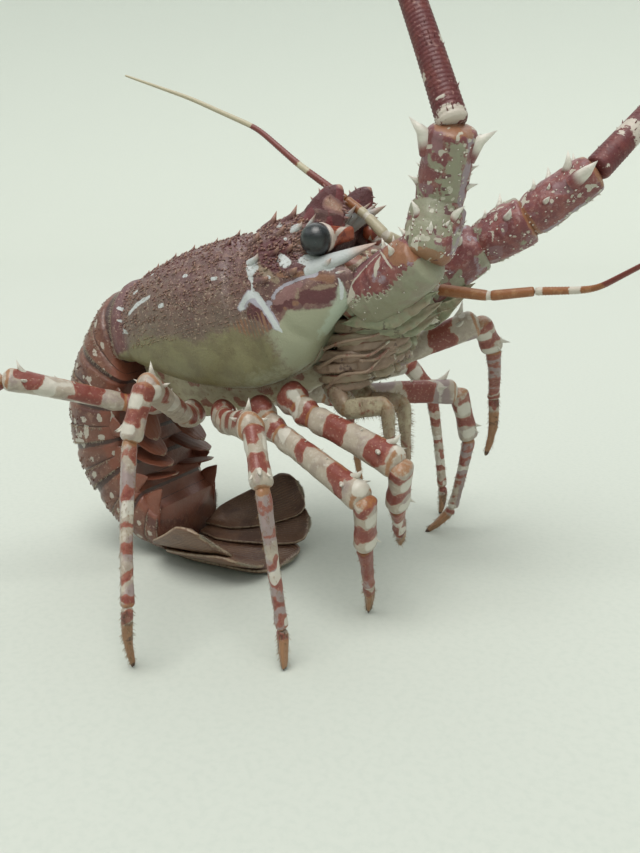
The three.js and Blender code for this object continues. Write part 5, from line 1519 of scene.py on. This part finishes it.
def lash_piece(side, seed):
    """The long ringed whip: a radius that falls as s^0.85 from root to tip, with a ripple, white bands and
    patches of flecks, and grains along two sides."""
    _, lash = antenna_chain(side)
    along, line, _ = path(lash, 0.5, 14)
    share = along / along[-1]
    taper = WHIP_ROOT_RADIUS + (WHIP_TIP_RADIUS - WHIP_ROOT_RADIUS) * share ** 0.85
    radius = taper * rounded_ends(along, 1.0)
    ripple = 0.045 * radius * np.sin(2 * np.pi * along / WHIP_RING)
    rings, normal, angle = tube(line, LEFT + 0.3 * UP, radius + ripple, WHIP_SIDES)
    bands = sum(hump(along, at, wide) for at, wide in [(WHIP_BANDS[side], 3.5)] + FURTHER_BANDS)[:, None]
    patches = sum(hump(along, at, 2.6) for at in FLECKED_PATCHES)[:, None]
    flecks = soft(noise(rings, 6, seed), 0.5, 0.66)
    flecks = flecks + patches * soft(np.cos(angle + 0.5) + 0.5 * noise(rings, 3, seed), 0.3, 0.6)
    body = closed_tube(rings, pale=np.clip(bands * (0.8 + 0.5 * noise(rings, 4, seed)) + flecks, 0, 1))
    i = random.integers(6, len(along) - 30, WHIP_GRAINS)
    k = random.choice(GRAINED_COLUMNS, WHIP_GRAINS) + random.integers(-2, 3, WHIP_GRAINS)
    sizes = (0.3 + 0.16 * radius[i]) * random.uniform(0.5, 1.2, WHIP_GRAINS)
    ahead = 2 * np.gradient(line, axis=0)[i]
    return [body, grown((rings, normal), (i, k % WHIP_SIDES), sizes, 0.22 * sizes + 0.03, 4, ahead, 0.5)]


for side in SIDES:
    for order, name in enumerate(STEM):
        pieces = antenna_piece(side, order, name)
        make(f"antenna_{side}_{name}_article", pieces, ANTENNA, "antenna", f"antenna_{side}_{name}")
    lash = lash_piece(side, 41 if side == "left" else 47)
    make(f"antenna_{side}_lash", lash, WHIP, "whip", f"antenna_{side}_whip")

# Antennules

# Root of each, in the carapace's frame, and the places of its stem and of its whip.
ANTENNULES = {
    "right": ([112, 3.2, 2], [[78.5, -3, 126], [87.5, -3, 115], [105.5, -2, 113.5], [120.5, -1, 115.5]],
              [[135, -3, 116.5], [141, -6, 117.5], [154, -16, 125], [170, -30, 134.5]]),
    "left": ([112, 3.2, 4], [[75, 0, 129], [69, -6, 133], [61.5, -5, 139.5], [53, -4, 145.2]],
             [[33, -2, 157.5], [14.5, 0, 171], [-14, -2, 183], [-41.5, -6, 192.5]]),
}
ANTENNULE_RADII = [2.2, 2.3, 2.1, 1.8, 1.6]
ANTENNULE_WHIP_RADII = [1.4, 1.2, 1.0, 0.8, 0.4]
ANTENNULE_SIDES = 20
ANTENNULE_RING = 1.1


def antennule_stem(side, chain):
    """A tube with a waist at each joint, pale there, and cream from its root on."""
    along, line, joints = path(chain, 0.4, 1.5)
    waist = sum(hump(along, joint, 0.9) for joint in joints[1:-1])
    radius = np.interp(along, joints, ANTENNULE_RADII) * rounded_ends(along, 0.8) * (1 - 0.2 * waist)
    rings, _, _ = tube(line, LEFT + 0.2 * UP, radius, ANTENNULE_SIDES)
    share = (along / along[-1])[:, None]
    cream = soft(share, 0.84, 0.8) if side == "left" else soft(share, 0.3, 0.2)
    return closed_tube(rings, red=0, cream=cream, pale=np.clip(waist, 0, 1)[:, None])


def antennule_lash(side, chain):
    """A thin tube with a fine ripple, in stretches of red, cream and pale along it."""
    along, line, joints = path(chain, 0.4, 8)
    ripple = 1 + 0.06 * np.sin(2 * np.pi * along / ANTENNULE_RING)
    radius = np.interp(along, joints, ANTENNULE_WHIP_RADII) * rounded_ends(along, 0.8) * ripple
    rings, _, _ = tube(line, LEFT + 0.2 * UP, radius, ANTENNULE_SIDES)
    share = (along / along[-1])[:, None]
    if side == "left":
        band = hump(share, 0.2, 0.03)
        marks = {"red": soft(share, 0.02, 0.05) * soft(share, 0.48, 0.44) - band,
                 "cream": soft(share, 0.44, 0.48) + band, "pale": 0}
    else:
        marks = {"red": soft(share, 0.3, 0.5), "cream": 0,
                 "pale": hump(share, 0.22, 0.04) + hump(share, 0.02, 0.03)}
    return closed_tube(rings, **clipped(marks))


for side, sign in SIDES.items():
    root, stem, whip = ANTENNULES[side]
    stem = np.concatenate([[on_body(mirrored(root, sign))], stem])
    rod = antennule_stem(side, stem)
    make(f"antennule_{side}_rod", [rod], ANTENNULE, "antennule", f"antennule_{side}_stem")
    lash = antennule_lash(side, np.concatenate([stem[-1:], whip]))
    make(f"antennule_{side}_lash", [lash], ANTENNULE, "antennule", f"antennule_{side}_whip")

# Abdomen

# Rows of the line of the back: x, z, direction of travel in degrees, half width, height.
BACK_LINE = np.array([
    [-46.2, 112.3, 198, 24, 31], [-62.5, 94, 236, 27.5, 33], [-72.5, 70.5, 260, 28.5, 33.5],
    [-72.5, 45.5, 281, 28, 32.5],
    [-62.5, 23, 306, 26.5, 30.5], [-45, 6, 330, 24.5, 27], [-24, 0, 360, 22, 22],
], float)
# How high a ring stands over its smooth surface: share of it, height.
SEGMENT_RELIEF = [[0, -1.4], [0.16, -1.2], [0.22, -0.3], [0.27, 0.1], [0.42, 0.2], [0.56, 0.0],
                  [0.61, -0.8], [0.66, -0.1],
                  [0.8, 0.3], [0.95, 0.35], [1, -0.1]]
SEGMENT_DOME = 0.62
SEGMENT_FLOOR = 0.72
SEGMENT_FLOOR_COLUMNS = 12
# Pale spots of a ring: share of it, and distance round it from the middle of the back.
RING_SPOTS = [(0.42, 0.16), (0.44, 0.34), (0.8, 0.26), (0.8, 0.46), (0.45, 0.5)]
# Rows of a ring that carry hairs, and how many.
MIDDLE_ROW, RIM_ROW = 40, -2
MIDDLE_HAIRS, RING_RIM_HAIRS = 420, 320
RING_GRAINS = 130
LAST_RING = 5


def heading(degrees):
    """Directions in the middle plane, turned from forward towards up."""
    return np.stack([np.cos(np.radians(degrees)), 0 * degrees, np.sin(np.radians(degrees))], -1)


def back_station(index, share):
    """Places on the line of the back for shares of a segment: a cubic Hermite curve between its rows. Gives
    the point, the direction of travel, the outward normal, the half width and the height."""
    before, after = BACK_LINE[index], BACK_LINE[index + 1]
    start, end = np.array([before[0], 0, before[1]]), np.array([after[0], 0, after[1]])
    reach = np.linalg.norm(end - start)
    s = np.asarray(share, float)[:, None]
    t = 1 - s
    point = (start * t * t * (1 + 2 * s) + end * s * s * (1 + 2 * t)
             + heading(before[2]) * reach * s * t * t - heading(after[2]) * reach * s * s * t)
    row = before + (after - before) * s
    travel = heading(row[:, 2])
    out = np.stack([travel[:, 2], 0 * travel[:, 0], -travel[:, 0]], -1)
    return point, travel, out, row[:, 3], row[:, 4]


def tail_ring(index):
    """One ring of the tail: sections of a shell along the line of the back, lifted by the table, and a
    floor between its lower edges. Also its hairs, on a line over it and along its rim."""
    share = np.linspace(0, 1, 64)
    point, travel, out, half_width, height = back_station(index, share)
    rise = read_table(SEGMENT_RELIEF, share)[:, 0]
    dome = SEGMENT_DOME * height
    q = np.concatenate([np.linspace(-1, 0, 30)[:-1], np.linspace(0, 1, 90), np.linspace(1, 2, 30)[1:]])
    y, up, down = shell_section(q, (half_width + 0.6 * rise)[:, None], (dome + rise)[:, None],
                                (height - dome)[:, None], SEGMENT_FLOOR * half_width[:, None])
    origin = point - dome[:, None] * out
    outer = origin[:, None] + y[..., None] * LEFT + up[..., None] * out[:, None]
    outer = outer + (0.2 * noise(outer, 4, 9) * soft(down, 0.9, 0.6))[..., None] * grid_normals(outer)
    normals = grid_normals(outer)
    floor_share = np.linspace(0, 1, SEGMENT_FLOOR_COLUMNS + 2)[1:-1][None, :, None]
    under = outer[:, -1:] + (outer[:, :1] - outer[:, -1:]) * floor_share
    rings = np.concatenate([outer, under], 1)
    rings[..., 2] = np.maximum(rings[..., 2], 0.0)
    s = share[:, None]
    off = np.abs(np.concatenate([q, np.full(SEGMENT_FLOOR_COLUMNS, 2.0)]) - 0.5)
    flank = np.clip(off - 0.5, 0, 1)
    spots = sum(hump(s, at, 0.09) * hump(off, place, 0.03) for at, place in RING_SPOTS)
    rim = (soft(s, 0.95, 0.98) - soft(s, 0.985, 1)) * 0.45
    pale = (spots + rim * (0.5 + noise(rings, 5, 3))
            + soft(noise(rings, 3.5, 12), 0.55, 0.72) * (flank < 0.9))
    dark = 0.62 * np.clip(hump(s, 0.61, 0.03) + soft(s, 0.2, 0.12), 0, 1)
    pieces = [closed_tube(rings, pale=np.clip(pale, 0, 1) * soft(s, 1, 0.985), dark=dark,
                          red=soft(flank, 0.1, 0.5))]
    hairs = [rim_hairs(outer[MIDDLE_ROW, 18:-18], normals[MIDDLE_ROW, 18:-18] * 0.6,
                       travel[MIDDLE_ROW] * 1.2,
                       1.5, MIDDLE_HAIRS),
             rim_hairs(outer[RIM_ROW, 18:-18], normals[RIM_ROW, 18:-18] * 0.5, travel[-1] * 1.2,
                       1.2, RING_RIM_HAIRS)]
    if index < LAST_RING:
        places = strewn((20, 60), (25, 120), RING_GRAINS)
        sizes = random.uniform(0.4, 0.9, RING_GRAINS)
        pieces.append(grown((outer, normals), places, sizes, 0.45 * sizes, 5, travel[places[0]], 0.6))
    return pieces, hairs


# A side plate: share of its ring where it grows, depth and half width of its root as shares of the ring's,
# how far it is sunk in, reaches down and sweeps back, and half its length along the body.
PLEURON = {"share": 0.55, "depth": 0.78, "width": 0.86, "sunk": 6, "reach": 13, "sweep": 4.5, "long": 7}
FIRST_PLEURON = dict(PLEURON, reach=6, sweep=0, long=3)
PLEOPOD_LENGTHS = [0, 25, 24, 22, 18, 0]
PLEOPOD_RAYS = 12
# A swimmeret: share of its length, half width, half thickness.
PLEOPOD_SHAPE = [[0, 2.5, 0.9], [0.25, 6, 0.8], [0.6, 7, 0.6], [0.9, 4.5, 0.45], [1, 0.6, 0.2]]
PLATE_SIDES = 44


def side_plate(index, sign):
    """A pointed side plate: a flat tube from the segment's edge to its tip, with a pale rim."""
    shape = PLEURON if index else FIRST_PLEURON
    point, travel, out, half_width, height = (v[0] for v in back_station(index, [shape["share"]]))
    edge = point - out * shape["depth"] * height + LEFT * sign * shape["width"] * half_width
    root = edge + out * shape["sunk"]
    middle = edge - out * 0.45 * shape["reach"] + travel
    tip = edge - out * shape["reach"] + travel * shape["sweep"]
    along, line, _ = path([root, middle, tip], 0.35, 3)
    share = along / along[-1]
    long = shape["long"] * read_table([[0, 1], [0.55, 0.66], [0.85, 0.3], [1, 0.05]], share)[:, 0]
    thick = read_table([[0, 1.8], [0.55, 1.25], [1, 0.25]], share)[:, 0]
    radii = np.stack([thick, long], 1)
    rings, _, angle = tube(line, LEFT * sign, radii, PLATE_SIDES, lambda a, p: 0.15 * noise(p, 3))
    rim = np.clip(np.abs(np.sin(angle)) * 2.2 - 1.2, 0, 1) * soft(share, 0.3, 0.5)[:, None]
    return closed_tube(rings, pale=np.maximum(rim, soft(share, 0.9, 1)[:, None]) * 0.42, red=0.9)


def swimmeret(index, sign):
    """A thin leaf under the tail, with low rays along it as a cosine of the angle."""
    point, travel, out, half_width, height = (v[0] for v in back_station(index, [0.5]))
    root = point + out * (3 - height) + LEFT * sign * 0.5 * half_width
    way = unit(0.75 * travel - out)
    along, line, _ = path([root, root + way * PLEOPOD_LENGTHS[index]], 0.5, 0)
    share = along / along[-1]
    radii = read_table(PLEOPOD_SHAPE, share)
    rings, _, angle = tube(line, LEFT, radii, PLATE_SIDES, lambda a, p: 0.07 * np.cos(PLEOPOD_RAYS * a))
    return closed_tube(rings, ray=0.5 + 0.5 * np.cos(PLEOPOD_RAYS * angle), red=0.9,
                       pale=0.6 * soft(share, 0.88, 1)[:, None])


tail_hairs = []
for index in range(6):
    pieces, hairs = tail_ring(index)
    plates = [side_plate(index, sign) for sign in SIDES.values()]
    make(f"tail_ring_{index + 1}", pieces + plates, TAIL, "abdomen", f"abdomen_{index + 1}")
    tail_hairs += hairs
    if PLEOPOD_LENGTHS[index]:
        make(f"swimmerets_{index + 1}", [swimmeret(index, sign) for sign in SIDES.values()], FAN_SKIN,
             "abdomen")
make("tail_hairs", tail_hairs, PALE_BRISTLE, "abdomen")

# Tail fan

# Where the fan starts and how far along it is flat, the radii of its curl and its cup, and its flat half
# width.
FAN = {"start": -24, "flat": 32, "curl": 60, "cup": 42, "flat_half_width": 7}
GAP = 0.3
# Each blade: where its root lies along and across, its turn in degrees, its length, its half width at the
# root, in the middle and at the end, how high its layer lies, and its thickness.
TELSON = dict(a=GAP, b=0, turn=0, length=50, root=12, wide=17, end=17.5, layer=0, thick=1.8)
UROPODS = {
    "uropod_inner": dict(a=1.5, b=12, turn=19, length=48, root=4.5, wide=12.5, end=13.5, layer=2.5,
                         thick=1.6),
    "uropod_outer": dict(a=1.5, b=16.5, turn=40, length=46, root=4, wide=12.5, end=14, layer=4.8,
                         thick=1.6),
}
BLADE_ROWS, BLADE_COLUMNS = 120, 110
COARSE_RAYS, FINE_RAYS = 9, 27
FRINGE_HAIRS = 380


def on_fan(a, b, layer):
    """The unrolled fan's places on its cupped surface: a runs along the tail and bends up past the flat by
    an arc of twice the curl's radius, and b runs sideways and bends up past the flat half width by an arc
    of the cup's."""
    flat = FAN["flat_half_width"]
    turn = np.maximum(0, np.abs(b) - flat) / FAN["cup"]
    sideways = np.sign(b) * (np.minimum(np.abs(b), flat) + (FAN["cup"] - layer) * np.sin(turn))
    height = FAN["cup"] - (FAN["cup"] - layer) * np.cos(turn)
    bend = np.maximum(0, a - FAN["flat"]) / (2 * FAN["curl"])
    along = np.minimum(a, FAN["flat"]) + (2 * FAN["curl"] - height) * np.sin(bend)
    rise = 2 * FAN["curl"] - (2 * FAN["curl"] - height) * np.cos(bend)
    return np.stack([FAN["start"] + along, sideways, rise], -1)


def fan_blade(shape, sign=1):
    """A blade: a loop over its upper face and back under it at each station, its half width read from the
    outline, with fine rays of cos(2 pi n v) raised on the upper face. Also the hairs of its fringe."""
    turn = math.radians(sign * shape["turn"])
    root, wide, end = shape["root"], shape["wide"], shape["end"]
    outline = [[0, root], [0.16, root + 0.75 * (wide - root)], [0.34, wide],
               [0.62, wide + 0.6 * (end - wide)],
               [0.85, end], [0.96, 0.78 * end], [1, 0.42 * end]]
    share = np.linspace(0, 1, BLADE_ROWS)[:, None]
    half_width = read_table(outline, share[:, 0])[:, :1]
    v = np.concatenate([np.linspace(-1, 1, BLADE_COLUMNS), np.linspace(1, -1, BLADE_COLUMNS)[1:-1]])
    upper = np.arange(len(v)) < BLADE_COLUMNS
    rim = np.clip(1 - np.abs(v), 0, 0.06) / 0.06
    tail_rim = soft(share, 1.0, 0.97)
    rays = np.cos(2 * np.pi * COARSE_RAYS * v) * soft(share, 0.05, 0.25)
    rays = rays + 0.4 * np.cos(2 * np.pi * FINE_RAYS * v)
    thick = shape["thick"] * (0.25 + 0.75 * np.minimum(rim, tail_rim))
    middle = shape["layer"] + 0.5 * shape["thick"]
    height = np.where(upper, middle + 0.5 * thick + 0.22 * rays * rim * tail_rim,
                      middle - 0.5 * thick + 0.06 * rays * rim)
    u = shape["length"] * share
    across = half_width * v
    a = np.where(share > 0, shape["a"] + u * math.cos(turn) - across * math.sin(turn), GAP)
    b = sign * shape["b"] + u * math.sin(turn) + across * math.cos(turn)
    rings = on_fan(a, b, np.maximum(height, 0))
    pale = np.maximum(soft(np.abs(v), 0.95, 0.99), soft(share, 0.95, 1)) * 0.6
    ray = np.clip(-rays, 0, 1) * soft(share, 0.3, 0.6) * np.where(upper, 1, 0.6)
    lip, inner = rings[-1, :BLADE_COLUMNS], rings[-8, :BLADE_COLUMNS]
    hairs = rim_hairs(lip, unit(lip - inner), [0, 0, 0], 1.6, FRINGE_HAIRS)
    hairs["points"][:, 2] = np.maximum(hairs["points"][:, 2], 0.05)
    return closed_tube(rings, pale=pale, ray=ray), hairs


fan_hairs = []
blade, hairs = fan_blade(TELSON)
make("telson_plate", [blade], FAN_SKIN, "fan", "telson")
fan_hairs.append(hairs)
for name, shape in UROPODS.items():
    for side, sign in SIDES.items():
        blade, hairs = fan_blade(shape, sign)
        make(f"{name}_{side}_blade", [blade], FAN_SKIN, "fan", f"{name}_{side}")
        fan_hairs.append(hairs)
make("fan_fringe", fan_hairs, PALE_BRISTLE, "fan")

# Stage, light and camera

STAGE_FLAT = 2300.0
STAGE_BEND = 1500.0
STAGE_TOP = 2200.0
STAGE_SIDES = 96
STAGE_FLAT_ROWS, STAGE_BEND_ROWS = 12, 24


def stage_surface():
    """A pale bowl round the model: flat out to its radius, a quarter circle up, and a wall, turned about
    Z."""
    bend = np.linspace(0, np.pi / 2, STAGE_BEND_ROWS)
    flat = np.linspace(1, STAGE_FLAT, STAGE_FLAT_ROWS)[:-1]
    radius = np.concatenate([flat, STAGE_FLAT + STAGE_BEND * np.sin(bend),
                             [STAGE_FLAT + STAGE_BEND]])[:, None]
    height = np.concatenate([0 * flat, STAGE_BEND * (1 - np.cos(bend)), [STAGE_TOP]])[:, None]
    turn = 2 * np.pi * np.arange(STAGE_SIDES) / STAGE_SIDES
    points = np.stack(np.broadcast_arrays(radius * np.cos(turn), radius * np.sin(turn), height), -1)
    points = np.append(points.reshape(-1, 3), [[0, 0, 0]], 0)
    k = np.arange(STAGE_SIDES)
    fan = np.stack([k, (k + 1) % STAGE_SIDES, np.full(STAGE_SIDES, len(points) - 1)], -1)
    return part(points, grid_faces(len(radius), STAGE_SIDES), fan)


# Matt paper of a studio backdrop, pale and very faintly clouded.
PAPER = Paint("pale_studio_paper", "C4C9C1", 0.9, 0.0, [], [
    ("clouds", "BFC5BD", 0.8, 2.5, 0.4, 0.7, 4),
]).material
stage_part = stage_surface()
mesh = bpy.data.meshes.new("studio_floor")
mesh.from_pydata(stage_part["points"] * MM, [],
                 stage_part["quads"].tolist() + stage_part["triangles"].tolist())
mesh.polygons.foreach_set("use_smooth", np.ones(len(mesh.polygons), bool))
mesh.materials.append(PAPER)
floor = bpy.data.objects.new("studio_floor", mesh)
bpy.context.scene.collection.objects.link(floor)


def soft_light(name, place, strength, spread, shade):
    """Even soft light from the direction of a place, seen from the model, over that angle of spread in
    degrees."""
    light = bpy.data.lights.new(name, "SUN")
    light.energy = strength
    light.angle = math.radians(spread)
    light.color = colour(shade)[:3]
    lamp = bpy.data.objects.new(name, light)
    lamp.rotation_euler = (math.atan2(math.hypot(place[0], place[1]), place[2]), 0,
                           math.atan2(place[0], -place[1]))
    bpy.context.scene.collection.objects.link(lamp)


soft_light("key_lamp", (0.07, -0.45, 1.2), 2.3, 40, "FFFDF8")
soft_light("front_fill", (0.85, -1.1, 0.5), 0.75, 60, "F2F8FF")
soft_light("left_fill", (-1.1, -0.7, 0.6), 0.6, 60, "F6FAFF")
soft_light("back_lamp", (-0.4, 1.1, 0.9), 0.75, 60, "FFFFFF")
world = bpy.data.worlds.new("studio")
bpy.context.scene.world = world
world.use_nodes = True
world.node_tree.nodes["Background"].inputs["Color"].default_value = colour("E9EDEA")
world.node_tree.nodes["Background"].inputs["Strength"].default_value = 0.55

# The camera as fitted to the photo, in metres and degrees.
PHOTO_HEIGHT = 853
FOCAL_PIXELS = 850
SENSOR = 36.0
CAMERA_PLACE = (0.187, -0.284, 0.139)
CAMERA_DOWN, CAMERA_TURN = 13.8, 27.3
camera_data = bpy.data.cameras.new("photo_camera")
camera_data.sensor_width = SENSOR
camera_data.lens = FOCAL_PIXELS / PHOTO_HEIGHT * SENSOR
camera_data.clip_start = 0.01
camera = bpy.data.objects.new("photo_camera", camera_data)
camera.location = CAMERA_PLACE
camera.rotation_euler = (math.radians(90 - CAMERA_DOWN), 0, math.radians(CAMERA_TURN))
bpy.context.scene.collection.objects.link(camera)
bpy.context.scene.camera = camera
bpy.context.scene.view_settings.view_transform = "Standard"
